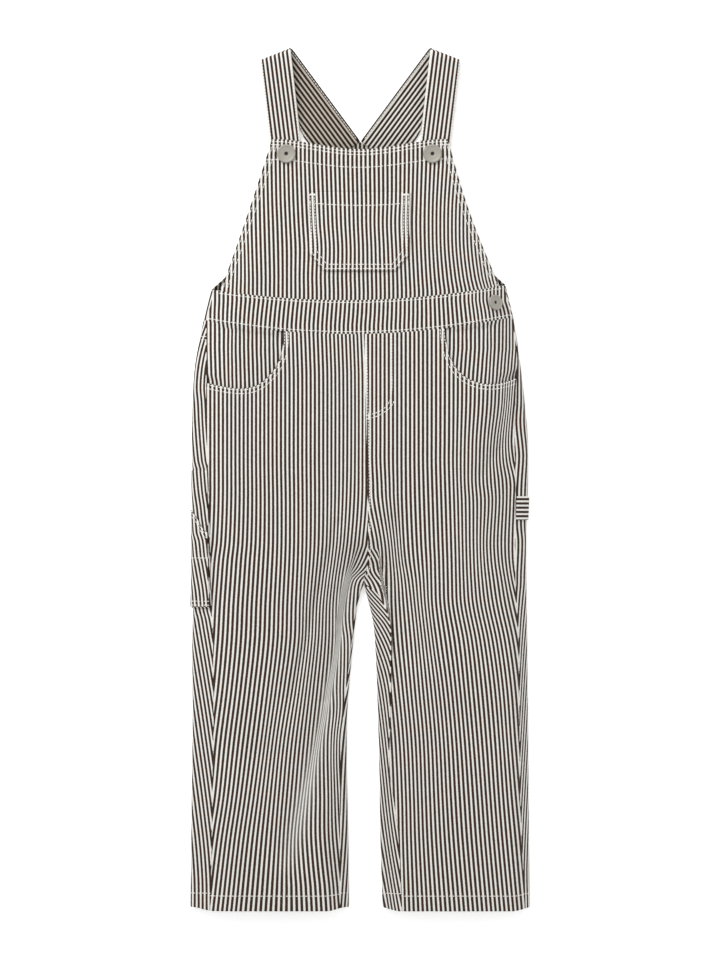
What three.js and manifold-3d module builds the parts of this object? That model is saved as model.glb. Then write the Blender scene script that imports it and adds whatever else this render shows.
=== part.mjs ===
// Child's bib overalls in striped twill, laid flat on their back.
// Millimetres. +X is the viewer's right, +Y runs from the hems to the shoulders and +Z is up from the surface.
// The origin is on that surface, under the middle of the garment. Left and right are the viewer's.
import * as THREE from 'three';
import { mergeVertices } from 'three/addons/utils/BufferGeometryUtils.js';
import Module from 'manifold-3d';

const wasm = await Module();
wasm.setup();

// Driving sizes of the cloth
const twill = 1.5;              // one layer of the main cloth with its turned seams
const lightTwill = 1.1;         // pocket patches and the pocket backings
const strapCloth = 2.0;         // the straps are sewn double
const seamGap = 0.3;            // between two pieces that are sewn together
const layerGap = 0.4;           // between a piece and what it lies on
const pocketGap = 0.8;          // between a front leg and the pocket backing under it

// How the cloth turns under at a folded side
const fold = {
  height: 4.5,                  // the outermost line of a fold, above the surface
  under: 5,                     // how far in the cloth reaches the surface
  over: 7,                      // how far in the edge of the upper layer levels out
  rise: 4.5,                    // from the outermost line up to that level
};

// The folded sides and the side seams, a row for each height. A seam is measured in from its fold, and
// fall is how far in from the fold the padded middle has dropped.
const sides = [
  { y: 160, leftFold: -121.2, leftSeam: 2.6, leftFall: 16, rightSeam: 1.0, rightFold: 119.4, rightFall: 20 },
  { y: 130, leftFold: -128.6, leftSeam: 3.0, leftFall: 16, rightSeam: 1.0, rightFold: 126.4, rightFall: 22 },
  { y: 100, leftFold: -134.6, leftSeam: 8.5, leftFall: 16, rightSeam: 1.4, rightFold: 130.8, rightFall: 26 },
  { y: 78, leftFold: -136.8, leftSeam: 10.6, leftFall: 15, rightSeam: 5.6, rightFold: 133.6, rightFall: 30 },
  { y: 35, leftFold: -138.2, leftSeam: 12.4, leftFall: 15, rightSeam: 11.0, rightFold: 137.6, rightFall: 46 },
  { y: 0, leftFold: -137.3, leftSeam: 13.0, leftFall: 15, rightSeam: 10.0, rightFold: 137.9, rightFall: 48 },
  { y: -40, leftFold: -136.2, leftSeam: 12.6, leftFall: 15, rightSeam: 9.4, rightFold: 136.6, rightFall: 44 },
  { y: -90, leftFold: -136.3, leftSeam: 14.0, leftFall: 15, rightSeam: 8.8, rightFold: 136.6, rightFall: 26 },
  { y: -132, leftFold: -137.8, leftSeam: 17.1, leftFall: 18, rightSeam: 7.0, rightFold: 137.2, rightFall: 16 },
  { y: -190, leftFold: -137.4, leftSeam: 17.2, leftFall: 20, rightSeam: 7.0, rightFold: 137.8, rightFall: 14 },
  { y: -260, leftFold: -138.2, leftSeam: 17.0, leftFall: 20, rightSeam: 7.0, rightFold: 138.4, rightFall: 14 },
  { y: -354, leftFold: -139.2, leftSeam: 16.2, leftFall: 20, rightSeam: 4.0, rightFold: 139.2, rightFall: 14 },
];

// The folded inner sides of the legs and the inseams, which start where the crotch seam ends.
const crotch = { x: 3.3, y: -85, fall: 46 };
const inner = [
  { y: -85, leftFold: 3.3, leftSeam: 0.6, leftFall: 46, rightFold: 3.3, rightSeam: 0.6, rightFall: 46 },
  { y: -92, leftFold: 0.6, leftSeam: 0.7, leftFall: 47, rightFold: 4.9, rightSeam: 9.0, rightFall: 44 },
  { y: -105, leftFold: -2.4, leftSeam: 0.8, leftFall: 48, rightFold: 8.2, rightSeam: 12.4, rightFall: 43 },
  { y: -120, leftFold: -4.2, leftSeam: 1.0, leftFall: 50, rightFold: 11.2, rightSeam: 13.6, rightFall: 40 },
  { y: -150, leftFold: -7.2, leftSeam: 1.6, leftFall: 52, rightFold: 13.2, rightSeam: 11.8, rightFall: 30 },
  { y: -190, leftFold: -10.4, leftSeam: 3.0, leftFall: 50, rightFold: 14.6, rightSeam: 10.0, rightFall: 20 },
  { y: -235, leftFold: -10.8, leftSeam: 5.2, leftFall: 42, rightFold: 15.8, rightSeam: 8.2, rightFall: 18 },
  { y: -290, leftFold: -9.6, leftSeam: 6.6, leftFall: 28, rightFold: 16.6, rightSeam: 14.6, rightFall: 17 },
  { y: -354, leftFold: -9.0, leftSeam: 7.4, leftFall: 20, rightFold: 18.6, rightSeam: 15.8, rightFall: 16 },
];

// The centre front seam, and how much higher than its edges the cloth stands over the middle of the body and legs.
const middle = [
  { y: 160, seam: 3.3, crown: 9 },
  { y: 100, seam: 4.0, crown: 12.5 },
  { y: 30, seam: 5.4, crown: 14.5 },
  { y: -40, seam: 6.6, crown: 14.5 },
  { y: -70, seam: 6.4, crown: 14.5 },
  { y: -85, seam: 3.3, crown: 14.5 },
  { y: -200, seam: 3.3, crown: 13 },
  { y: -300, seam: 3.3, crown: 10.5 },
  { y: -354, seam: 3.3, crown: 8.5 },
];

// The largest soft folds on the front: a trough where rise is negative, a ridge where it is positive.
const softFolds = [
  { fromX: -22, fromY: -45, toX: -60, toY: -195, half: 13, rise: -2.4 },   // thigh to knee, left
  { fromX: -14, fromY: -96, toX: -62, toY: -312, half: 12, rise: -2.2 },   // crotch to shin, left
  { fromX: 27, fromY: -28, toX: 50, toY: -150, half: 12, rise: -2.8 },     // crotch to knee, right
  { fromX: 118, fromY: 36, toX: 98, toY: -8, half: 13, rise: -2.2 },       // under the right hip pocket
  { fromX: 60, fromY: -190, toX: 122, toY: -214, half: 17, rise: -1.3 },   // right knee
  { fromX: -118, fromY: -214, toX: -70, toY: -236, half: 17, rise: -1.4 }, // left knee
  { fromX: -96, fromY: -300, toX: -44, toY: -336, half: 16, rise: 1.3 },   // left shin
];

// The waistband, whose seams sag towards the middle of the front
const waistband = {
  top: { mid: 147.4, sag: 10, tilt: 2, reach: 118 },
  bottom: { mid: 119.7, sag: 13, tilt: 1.7, reach: 127 },
};
const hem = { y: -353.6, corner: 3.2 };

// The bib
const bib = {
  bottomHalf: 115.2,            // half its width at the waistband
  topHalf: 72,                  // and at its top corners
  top: 279.6,                   // height of those corners
  dip: 8.2,                     // how far the top edge sags between them
  sideBow: -3.2,                // how far its sides bow out, negative as they curve inwards
  topLevel: 9.4,                // the outer face above the surface, at the top edge
};
const bibPocket = {
  left: -42.6, right: 41.2, top: 235.6, cornerY: 185.2, bottom: 171.8, cornerX: 30,
};

// The back yoke, an arrow head that the straps are sewn to
const yoke = { tipY: 277.8, shoulderX: 26.4, shoulderY: 259.2, armholeMid: 78 };

// One strap, seen flat in its own plane; the other is its mirror image
const strap = {
  foldX: -69.3, foldY: 347.7,   // where the middle of the strap crosses its fold at the shoulder
  foldLean: 21.2,               // degrees that the line of the fold leans from X
  lean: 13.9,                   // degrees between the strap's own length and the square to that line
  frontWidth: 24.6, foldWidth: 26.6, backWidth: 32.0,
  frontLength: 99,              // from the fold to the end under the bib
  backLength: 98.8,             // from the fold to the seam on the yoke
  loopInner: 4.6, loopOuter: 3.4, // radius of the fold, to the middle of the cloth
  frontLevel: 6.3,              // the middle of the strap above the surface, where it goes under the bib
};

// The curved edges of the hip pockets' openings, from the waistband to the side seam
const hipOpenings = {
  left: [[-60.6, 123], [-62.3, 111], [-66.4, 100.5], [-74.2, 89.4], [-83.4, 81.2], [-92.8, 77], [-102, 75.8],
    [-114, 76.6], [-128, 80.2]],
  right: [[69.6, 126], [71.0, 112.8], [74.1, 100.5], [79.2, 91.2], [85.9, 84.6], [94.6, 80.4], [104.2, 78.4],
    [115.4, 79.4], [124, 82], [130, 85.4]],
};

// What is sewn on the outer sides of the legs, at heights along the leg
const toolPocket = { top: 8, bottom: -105 };
const rulerPocket = { topSeam: -42.4, topFold: -24.4, bottom: -104 };
const hammerLoop = { top: -13.4, bottom: -32.8 };
const patchTurn = 0.35;         // how far round the under side of the fold a patch reaches, in radians

// Buttons
const buttons = {
  bibDiameter: 15.4, waistDiameter: 12.8, height: 2.4, pit: 1.5, pitDepth: 1.2, dish: 0.5,
  bibX: 60, bibY: 267.6, waistX: 110.2, waistY: 145.2,
};

const cloth = new THREE.MeshStandardMaterial({ color: 0x9c958c, roughness: 0.92, metalness: 0 });
const clothDark = new THREE.MeshStandardMaterial({ color: 0x7d756d, roughness: 0.95, metalness: 0 });
const metal = new THREE.MeshStandardMaterial({ color: 0xb5b0a5, roughness: 0.42, metalness: 0.85 });

const smooth = (t) => {
  const s = Math.min(1, Math.max(0, t));
  return s * s * (3 - 2 * s);
};
const mix = (a, b, t) => a + (b - a) * t;

// Reads one column of a table at any height, on a smooth curve through its rows.
function column(rows, name) {
  const points = rows.map((row) => [row.y, row[name]]).sort((a, b) => a[0] - b[0]);
  const slopes = points.map((point, i) => {
    const before = points[Math.max(0, i - 1)];
    const after = points[Math.min(points.length - 1, i + 1)];
    return (after[1] - before[1]) / (after[0] - before[0]);
  });
  return (y) => {
    const at = Math.min(points[points.length - 1][0], Math.max(points[0][0], y));
    let i = 0;
    while (i < points.length - 2 && at > points[i + 1][0]) i++;
    const [y0, v0] = points[i];
    const [y1, v1] = points[i + 1];
    const h = y1 - y0;
    const t = (at - y0) / h;
    return v0 * (1 + 2 * t) * (1 - t) ** 2 + slopes[i] * h * t * (1 - t) ** 2
      + v1 * t * t * (3 - 2 * t) - slopes[i + 1] * h * t * t * (1 - t);
  };
}

const columns = (rows, names) => Object.fromEntries(names.map((name) => [name, column(rows, name)]));
const side = columns(sides, ['leftFold', 'leftSeam', 'leftFall', 'rightFold', 'rightSeam', 'rightFall']);
const inside = columns(inner, ['leftFold', 'leftSeam', 'leftFall', 'rightFold', 'rightSeam', 'rightFall']);
const centre = columns(middle, ['seam', 'crown']);

const sagging = ({ mid, sag, tilt, reach }, x) => mid + sag * (x / reach) ** 2 + tilt * (x / reach);
// The back's seams run straight across from one side to the other.
const backSeam = (band, x) => mix(sagging(band, -band.reach), sagging(band, band.reach),
  (x / band.reach + 1) / 2);

// How far a fold's cloth lies in from its outermost line, and how far up its quarter turn it is,
// at a distance along the cloth from that line.
function quarterTurn(along, reach) {
  const angle = Math.min(along / reach, Math.PI / 2);
  return { inset: reach * (1 - Math.cos(angle)) + along - reach * angle, rise: Math.sin(angle) };
}
const riseAt = (inset, reach) => (inset >= reach ? 1 : Math.sqrt(1 - (1 - Math.max(0, inset) / reach) ** 2));
const alongAt = (inset, reach) => (inset >= reach ? reach * (Math.PI / 2 - 1) + inset
  : reach * Math.acos(1 - inset / reach));

// Distances of a point from the outer fold and the inner fold of its half of the garment.
function insets(half, x, y) {
  const sign = half === 'left' ? 1 : -1;
  const outer = sign * (x - side[half + 'Fold'](y));
  const fromCrotch = y >= crotch.y ? Math.hypot(x - crotch.x, y - crotch.y)
    : sign * (inside[half + 'Fold'](y) - x);
  const fall = y >= crotch.y ? crotch.fall : inside[half + 'Fall'](y);
  return { outer, inner: fromCrotch, outerFall: side[half + 'Fall'](y), innerFall: fall };
}

function foldRelief(x, y) {
  let rise = 0;
  for (const f of softFolds) {
    const dx = f.toX - f.fromX;
    const dy = f.toY - f.fromY;
    const length = Math.hypot(dx, dy);
    const along = ((x - f.fromX) * dx + (y - f.fromY) * dy) / length;
    const across = ((x - f.fromX) * dy - (y - f.fromY) * dx) / length;
    const ends = smooth((along + f.half) / (2 * f.half)) * smooth((length + f.half - along) / (2 * f.half));
    rise += f.rise * ends * Math.exp(-((across / f.half) ** 2));
  }
  return rise;
}

// Height of the padded middle and the soft folds above a fold's level cloth.
function crownAt(half, x, y) {
  const d = insets(half, x, y);
  const share = smooth(d.outer / d.outerFall) * smooth(d.inner / d.innerFall);
  return share * (centre.crown(y) + foldRelief(x, y));
}

// Outer face of the upper layer at a plan position.
function topHeight(half, x, y) {
  const d = insets(half, x, y);
  const edge = riseAt(Math.min(d.outer, d.inner), fold.over);
  return fold.height + fold.rise * edge + crownAt(half, x, y);
}

// The cloth round an outer or inner fold. along is measured from the outermost line: up over the front where
// it is positive, and under the garment where it is negative.
function roundFold(half, foldX, inward, along, y) {
  if (along >= 0) {
    const turn = quarterTurn(along, fold.over);
    const x = foldX + inward * turn.inset;
    return new THREE.Vector3(x, y, fold.height + fold.rise * turn.rise + crownAt(half, x, y));
  }
  const turn = quarterTurn(-along, fold.under);
  return new THREE.Vector3(foldX + inward * turn.inset, y, fold.height * (1 - turn.rise));
}

// Normal of a surface given as a function of two numbers, pointing to the side that `outward` says.
function normalOf(surface, a, b, outward) {
  const step = 0.02;
  const du = surface(a + step, b).sub(surface(a - step, b));
  const dv = surface(a, b + step).sub(surface(a, b - step));
  const normal = du.cross(dv).normalize();
  return outward(normal) < 0 ? normal.negate() : normal;
}

// A closed wall of cloth over a grid. point(row, column) gives its outer point and outward normal;
// lift moves the whole wall out along that normal.
function clothWall(rowCount, columnCount, point, thickness, lift = 0) {
  const positions = [];
  const index = [];
  const width = columnCount + 1;
  const layer = (rowCount + 1) * width;
  const outer = [];
  for (let r = 0; r <= rowCount; r++) for (let c = 0; c <= columnCount; c++) outer.push(point(r, c));
  for (const depth of [lift, lift - thickness])
    for (const [p, n] of outer) positions.push(p.x + n.x * depth, p.y + n.y * depth, p.z + n.z * depth);
  const [a, b, c] = [outer[0][0], outer[1][0], outer[width][0]];
  const flip = b.clone().sub(a).cross(c.clone().sub(a)).dot(outer[0][1]) < 0;
  const quad = (p, q, r, s) => {
    if (flip) index.push(p, s, r, p, r, q);
    else index.push(p, q, r, p, r, s);
  };
  const at = (r, col, under) => r * width + col + (under ? layer : 0);
  for (let r = 0; r < rowCount; r++)
    for (let col = 0; col < columnCount; col++) {
      quad(at(r, col), at(r, col + 1), at(r + 1, col + 1), at(r + 1, col));
      quad(at(r, col, 1), at(r + 1, col, 1), at(r + 1, col + 1, 1), at(r, col + 1, 1));
    }
  for (let col = 0; col < columnCount; col++) {
    quad(at(0, col, 1), at(0, col + 1, 1), at(0, col + 1), at(0, col));
    quad(at(rowCount, col), at(rowCount, col + 1), at(rowCount, col + 1, 1), at(rowCount, col, 1));
  }
  for (let r = 0; r < rowCount; r++) {
    quad(at(r, 0), at(r + 1, 0), at(r + 1, 0, 1), at(r, 0, 1));
    quad(at(r, columnCount, 1), at(r + 1, columnCount, 1), at(r + 1, columnCount), at(r, columnCount));
  }
  const geometry = new THREE.BufferGeometry();
  geometry.setAttribute('position', new THREE.Float32BufferAttribute(positions, 3));
  geometry.setIndex(index);
  return geometry;
}

function solidFrom(geometry) {
  const bare = geometry.clone();
  bare.deleteAttribute('normal');
  bare.deleteAttribute('uv');
  const merged = mergeVertices(bare, 1e-4);
  return new wasm.Manifold(new wasm.Mesh({
    numProp: 3,
    vertProperties: new Float32Array(merged.attributes.position.array),
    triVerts: new Uint32Array(merged.index.array),
  }));
}

function geometryFrom(solid) {
  const mesh = solid.getMesh();
  const geometry = new THREE.BufferGeometry();
  geometry.setAttribute('position', new THREE.BufferAttribute(new Float32Array(mesh.vertProperties), 3));
  geometry.setIndex(new THREE.BufferAttribute(new Uint32Array(mesh.triVerts), 1));
  return geometry;
}

const garment = new THREE.Group();
function add(name, geometry, material = cloth) {
  geometry.computeVertexNormals();
  const mesh = new THREE.Mesh(geometry, material);
  mesh.name = name;
  garment.add(mesh);
  return mesh;
}

const up = (n) => n.z;

// Rows of the trouser part, from the waistband's lower seam to the hem, closer together at the crotch.
const rowHeights = [119.7, 107, 94, 82, 69, 52, 33, 13, -8, -28, -45, -59, -71, -79, -85, -89, -95, -104, -117,
  -135, -158, -186, -216, -248, -280, -312, -338, hem.y];
const rowTotal = rowHeights.length - 1;

// Height of a row at a place across the body. Rows follow the sagging waist seam and level out below it,
// and the last one lifts a little at the corners of the hem.
function rowY(r, x, seam = sagging) {
  const i = Math.min(rowTotal - 1, Math.max(0, Math.floor(r)));
  const base = mix(rowHeights[i], rowHeights[i + 1], r - i);
  const waistShare = smooth((base - 30) / (waistband.bottom.mid - 30));
  const hemShare = smooth((-320 - base) / (-320 - hem.y));
  const legMiddle = x < crotch.x ? -74 : 79;
  return base + waistShare * (seam(waistband.bottom, x) - waistband.bottom.mid)
    + hemShare * hem.corner * smooth((Math.abs(x - legMiddle) - 46) / 18) - seamGap / 2 * waistShare;
}

// The gap at the inner seams, wider where they turn into one another at the crotch.
const innerGap = (y) => seamGap * (1 + 1.6 * smooth(1 - Math.abs(y - crotch.y) / 14));

// Front leg panels: from the side seam to the centre front seam, and below the crotch to the inseam.
function frontLegSurface(half) {
  const sign = half === 'left' ? 1 : -1;
  return (r, share) => {
    const yMid = rowY(r, sign * -126);
    const seamX = side[half + 'Fold'](yMid) + sign * (side[half + 'Seam'](yMid) + seamGap / 2);
    const innerAt = (y) => (y >= crotch.y ? centre.seam(y) - sign * innerGap(y) / 2
      : inside[half + 'Fold'](y) - sign * (inside[half + 'Seam'](y) + innerGap(y) / 2));
    const innerX = innerAt(rowY(r, centre.seam(yMid)));
    const x = mix(seamX, innerX, share);
    const y = rowY(r, x);
    return new THREE.Vector3(x, y, topHeight(half, x, y));
  };
}

function topNormal(half, x, y) {
  const h = 0.05;
  const dx = (topHeight(half, x + h, y) - topHeight(half, x - h, y)) / (2 * h);
  const dy = (topHeight(half, x, y + h) - topHeight(half, x, y - h)) / (2 * h);
  return new THREE.Vector3(-dx, -dy, 1).normalize();
}

function hipOpeningPrism(half) {
  const away = half === 'left' ? -170 : 170;
  const edge = new THREE.SplineCurve(hipOpenings[half].map(([x, y]) => new THREE.Vector2(x, y))).getPoints(26);
  const last = edge[edge.length - 1];
  const shape = new THREE.Shape([...edge, new THREE.Vector2(away, last.y + 2), new THREE.Vector2(away, 170),
    new THREE.Vector2(edge[0].x, 170)]);
  return new THREE.ExtrudeGeometry(shape, { depth: 80, bevelEnabled: false }).translate(0, 0, -20);
}

function frontLeg(half) {
  const surface = frontLegSurface(half);
  const shares = [0, 0.045, 0.11, 0.19, 0.28, 0.38, 0.48, 0.58, 0.67, 0.76, 0.84, 0.91, 0.965, 1];
  const wall = clothWall(rowTotal, shares.length - 1, (r, c) => {
    const p = surface(r, shares[c]);
    return [p, topNormal(half, p.x, p.y)];
  }, twill);
  return geometryFrom(solidFrom(wall).subtract(solidFrom(hipOpeningPrism(half))));
}

// The backing that shows inside a hip pocket's opening, under the front panel.
function hipBacking(half) {
  const sign = half === 'left' ? -1 : 1;
  const edge = hipOpenings[half];
  const innerX = edge[0][0] - sign * 9;
  const lowest = Math.min(...edge.map(([, y]) => y)) - 10;
  const across = 12;
  const down = 8;
  return clothWall(down, across, (r, c) => {
    const y0 = mix(sagging(waistband.bottom, sign * 100), lowest, r / down);
    const outerX = side[half + 'Fold'](y0) - sign * (side[half + 'Seam'](y0) + 0.8);
    const x = mix(outerX, innerX, c / across);
    const y = mix(sagging(waistband.bottom, x) - seamGap / 2, lowest, r / down);
    return [new THREE.Vector3(x, y, topHeight(half, x, y)), topNormal(half, x, y)];
  }, lightTwill, -(twill + pocketGap));
}

// The back of a leg is three pieces, so that each stays simple: the outer turn from the side seam round the
// outer fold, the back panel on the surface, and the inner turn round the inner fold to the inseam.
const underTurn = fold.under * Math.PI / 2;
const crotchRow = rowHeights.indexOf(crotch.y);
const innerTurnUnder = (y) => underTurn * smooth((crotch.y - y) / 12);

function outerPoint(half, r, along) {
  const inward = half === 'left' ? 1 : -1;
  const foldX = side[half + 'Fold'](rowY(r, inward * -126, backSeam));
  const turn = quarterTurn(Math.abs(along), along < 0 ? fold.under : fold.over);
  return roundFold(half, foldX, inward, along, rowY(r, foldX + inward * turn.inset, backSeam));
}

function innerPoint(half, r, along) {
  const inward = half === 'left' ? 1 : -1;
  const y = rowY(r, crotch.x - inward * 10, backSeam);
  return roundFold(half, inside[half + 'Fold'](y), -inward, along, y);
}

function outerTurn(half) {
  const inward = half === 'left' ? 1 : -1;
  const around = 6;
  const surface = (r, c) => {
    const y = rowY(r, inward * -126, backSeam);
    const seamAlong = alongAt(side[half + 'Seam'](y), fold.over) - seamGap / 2;
    return outerPoint(half, r, c <= around / 2 ? seamAlong * (1 - 2 * c / around)
      : (seamGap / 2 - underTurn) * (2 * c / around - 1));
  };
  return clothWall(rowTotal, around, (r, c) => ringNormal(surface, r, c, middleOf(inward * -124)), twill);
}

function innerTurn(half) {
  const inward = half === 'left' ? 1 : -1;
  const around = 6;
  const first = crotchRow + 1;
  const surface = (row, c) => {
    const r = row + first;
    const y = rowY(r, crotch.x - inward * 10, backSeam);
    const inseamAlong = Math.max(0.4, alongAt(inside[half + 'Seam'](y), fold.over) - innerGap(y) / 2);
    return innerPoint(half, r, c <= around / 2 ? (seamGap / 2 - innerTurnUnder(y)) * (1 - 2 * c / around)
      : inseamAlong * (2 * c / around - 1));
  };
  return clothWall(rowTotal - first, around,
    (r, c) => ringNormal(surface, r, c, middleOf(crotch.x - inward * 26)), twill);
}

function backPanel(half) {
  const inward = half === 'left' ? 1 : -1;
  const across = 6;
  const surface = (r, c) => {
    const y = rowY(r, inward * -126, backSeam);
    const below = y < crotch.y;
    const start = side[half + 'Fold'](y) + inward * (fold.under + seamGap / 2);
    const innerFold = inside[half + 'Fold'](y);
    const end = below ? innerPoint(half, r, -innerTurnUnder(y) - seamGap / 2).x
      : centre.seam(y) - inward * innerGap(y) / 2;
    const x = mix(start, end, (c / across) * (1.6 - 0.6 * c / across));
    const yHere = rowY(r, x, backSeam);
    const fromFold = below ? inward * (innerFold - x) : Math.hypot(x - crotch.x, yHere - crotch.y);
    return new THREE.Vector3(x, yHere, fold.height * (1 - riseAt(fromFold, fold.under)));
  };
  return clothWall(rowTotal, across, (r, c) => [surface(r, c), normalOf(surface, r, c, (n) => -n.z)], twill);
}

// Says which way is out for a point on a ring of cloth, from the middle of the ring at that place.
function ringNormal(surface, a, b, middleOf) {
  const p = surface(a, b);
  const out = p.clone().sub(middleOf(p));
  return [p, normalOf(surface, a, b, (n) => n.dot(out))];
}

// The line inside a ring of cloth that its outer face looks away from.
const middleOf = (x) => (p) => new THREE.Vector3(x, p.y, fold.height + 0.5);

// Front waistband and the back one, which goes round both side folds.
function frontWaistband() {
  const across = 24;
  const down = 3;
  const surface = (r, c) => {
    const share = c / across;
    const y0 = sagging(waistband.top, -118);
    const y1 = sagging(waistband.top, 118);
    const heightShare = r / down;
    const yLeft = mix(y0, sagging(waistband.bottom, -126), heightShare);
    const yRight = mix(y1, sagging(waistband.bottom, 126), heightShare);
    const leftX = side.leftFold(yLeft) + side.leftSeam(yLeft) + seamGap / 2;
    const rightX = side.rightFold(yRight) - side.rightSeam(yRight) - seamGap / 2;
    const x = mix(leftX, rightX, share);
    const y = mix(sagging(waistband.top, x) - seamGap / 2, sagging(waistband.bottom, x) + seamGap / 2,
      heightShare);
    const half = x < crotch.x ? 'left' : 'right';
    return [new THREE.Vector3(x, y, topHeight(half, x, y)), topNormal(half, x, y)];
  };
  return clothWall(down, across, surface, twill);
}

function backWaistband() {
  const turns = 3;
  const under = 3;
  const flat = 6;
  const down = 2;
  const total = 2 * (turns + under) + flat;
  const heightAt = (r, x) => mix(backSeam(waistband.top, x) - seamGap / 2,
    backSeam(waistband.bottom, x) + seamGap / 2, r / down);
  const surface = (r, c) => {
    const half = c <= total / 2 ? 'left' : 'right';
    const inward = half === 'left' ? 1 : -1;
    const y = heightAt(r, inward * -126);
    const seamAlong = alongAt(side[half + 'Seam'](y), fold.over) - seamGap / 2;
    const k = half === 'left' ? c : total - c;
    const foldX = side[half + 'Fold'](y);
    if (k <= turns) return roundFold(half, foldX, inward, seamAlong * (1 - k / turns), y);
    if (k <= turns + under) return roundFold(half, foldX, inward, -underTurn * (k - turns) / under, y);
    const leftEnd = side.leftFold(heightAt(r, -126)) + fold.under;
    const rightEnd = side.rightFold(heightAt(r, 126)) - fold.under;
    const x = mix(leftEnd, rightEnd, (c - turns - under) / flat);
    return new THREE.Vector3(x, heightAt(r, x), 0);
  };
  const inner = (p) => middleOf(THREE.MathUtils.clamp(p.x, -112, 112))(p);
  return clothWall(down, total, (r, c) => ringNormal(surface, r, c, inner), twill);
}

// Outer face of the bib: across from -1 to 1, and up from 0 at the waistband to 1 at the top edge.
function bibPoint(across, upShare) {
  const widen = bib.sideBow * Math.sin(Math.PI * upShare);
  const halfWidth = mix(bib.bottomHalf, bib.topHalf, upShare) + widen;
  const bottomX = bib.bottomHalf * across;
  const bottomY = sagging(waistband.top, bottomX) + seamGap / 2;
  const topY = bib.top - bib.dip * Math.cos(Math.PI / 2 * across) ** 2;
  const x = halfWidth * across;
  const y = mix(bottomY, topY, upShare);
  const waistLevel = topHeight(bottomX < crotch.x ? 'left' : 'right', bottomX, bottomY);
  const z = mix(waistLevel, bib.topLevel, smooth(upShare * 0.92 + 0.08 * upShare));
  return new THREE.Vector3(x, y, z);
}
const bibNormal = (across, upShare) => normalOf(bibPoint, across, upShare, up);

// The place on the bib above a plan position, by halving in on it.
function onBib(x, y) {
  let upShare = 0.5;
  let across = x / 95;
  for (let i = 0; i < 30; i++) {
    const p = bibPoint(across, upShare);
    upShare += (y - p.y) / 125;
    across += (x - p.x) / 95;
  }
  return [bibPoint(across, upShare), bibNormal(across, upShare)];
}

function bibPanel() {
  const across = 16;
  const rise = 8;
  return clothWall(rise, across, (r, c) => {
    const u = (2 * c) / across - 1;
    return [bibPoint(u, r / rise), bibNormal(u, r / rise)];
  }, twill);
}

// Patch pocket with cut-off lower corners, made from the bib's own points moved out.
function chestPocket() {
  const across = 10;
  const { left, right, top, cornerY, bottom, cornerX } = bibPocket;
  const heights = [top, top - 17, top - 34, cornerY, (cornerY + bottom) / 2, bottom];
  return clothWall(heights.length - 1, across, (r, c) => {
    const below = Math.max(0, (cornerY - heights[r]) / (cornerY - bottom));
    const lean = 2.4 * (top - heights[r]) / (top - bottom);
    const leftX = mix(left + lean, -cornerX, below);
    const rightX = mix(right - lean * 0.6, cornerX - 0.8, below);
    return onBib(mix(leftX, rightX, c / across), heights[r]);
  }, lightTwill, layerGap + lightTwill);
}

// The back yoke: flat underneath, its lower corners curling up into the side folds.
function backYoke() {
  const across = 14;
  const rise = 9;
  const bottomY = (x) => backSeam(waistband.top, x);
  const surface = (r, c) => {
    const share = r / rise;
    const u = (2 * c) / across - 1;
    const widest = u < 0 ? -side.leftFold(bottomY(-120)) : side.rightFold(bottomY(120));
    const armhole = share < 0.5
      ? mix(widest, yoke.armholeMid, 1 - (1 - share * 2) ** 1.4)
      : mix(yoke.armholeMid, yoke.shoulderX, (share * 2 - 1) ** 0.9);
    const x = u * armhole;
    const topY = yoke.tipY - (yoke.tipY - yoke.shoulderY) * Math.abs(u);
    const y = mix(bottomY(x) + seamGap / 2 + 0.8 * u ** 6, topY, share);
    const curl = (1 - smooth((y - bottomY(x)) / 26)) * (1 - riseAt(armhole - Math.abs(x), fold.under));
    return new THREE.Vector3(x, y, fold.height * curl);
  };
  const spread = (c) => {
    const u = (2 * c) / across - 1;
    return (Math.sign(u) * Math.abs(u) ** 0.72 + 1) * across / 2;
  };
  return clothWall(rise, across, (r, c) => {
    const at = spread(c);
    return [surface(r, at), normalOf(surface, r, at, (n) => -n.z)];
  }, twill);
}

// A strap goes up from behind the bib, over its fold at the shoulder and down behind to the yoke.
// length is measured along it from the fold, and across from -1 at the outer edge to 1 at the inner one.
function strapSurface(mirror) {
  const lineAngle = THREE.MathUtils.degToRad(strap.foldLean);
  const lean = THREE.MathUtils.degToRad(strap.lean);
  const alongLine = new THREE.Vector2(Math.cos(lineAngle), Math.sin(lineAngle));
  const squareToLine = new THREE.Vector2(-Math.sin(lineAngle), Math.cos(lineAngle));
  const floorLevel = strapCloth / 2;
  return (length, across) => {
    const width = length > 0 ? mix(strap.foldWidth, strap.frontWidth, length / strap.frontLength)
      : mix(strap.foldWidth, strap.backWidth, Math.min(1, -length / (0.7 * strap.backLength)));
    const sideways = across * width / 2;
    const towardsFold = length * Math.cos(lean) + sideways * Math.sin(lean);
    const downLine = -length * Math.sin(lean) + sideways * Math.cos(lean);
    const radius = mix(strap.loopOuter, strap.loopInner, (across + 1) / 2);
    const halfTurn = radius * Math.PI / 2;
    const angle = THREE.MathUtils.clamp(towardsFold / radius, -Math.PI / 2, Math.PI / 2);
    const straight = Math.max(0, Math.abs(towardsFold) - halfTurn);
    const out = radius * Math.cos(angle) - straight - radius;
    const top = floorLevel + radius * (1 + Math.sin(angle));
    const settle = towardsFold > 0 ? smooth(straight / 62) : 0;
    const z = mix(top, strap.frontLevel, settle);
    const x = strap.foldX + alongLine.x * downLine + squareToLine.x * out;
    const y = strap.foldY + alongLine.y * downLine + squareToLine.y * out;
    return new THREE.Vector3(mirror * x, y, z);
  };
}

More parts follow.
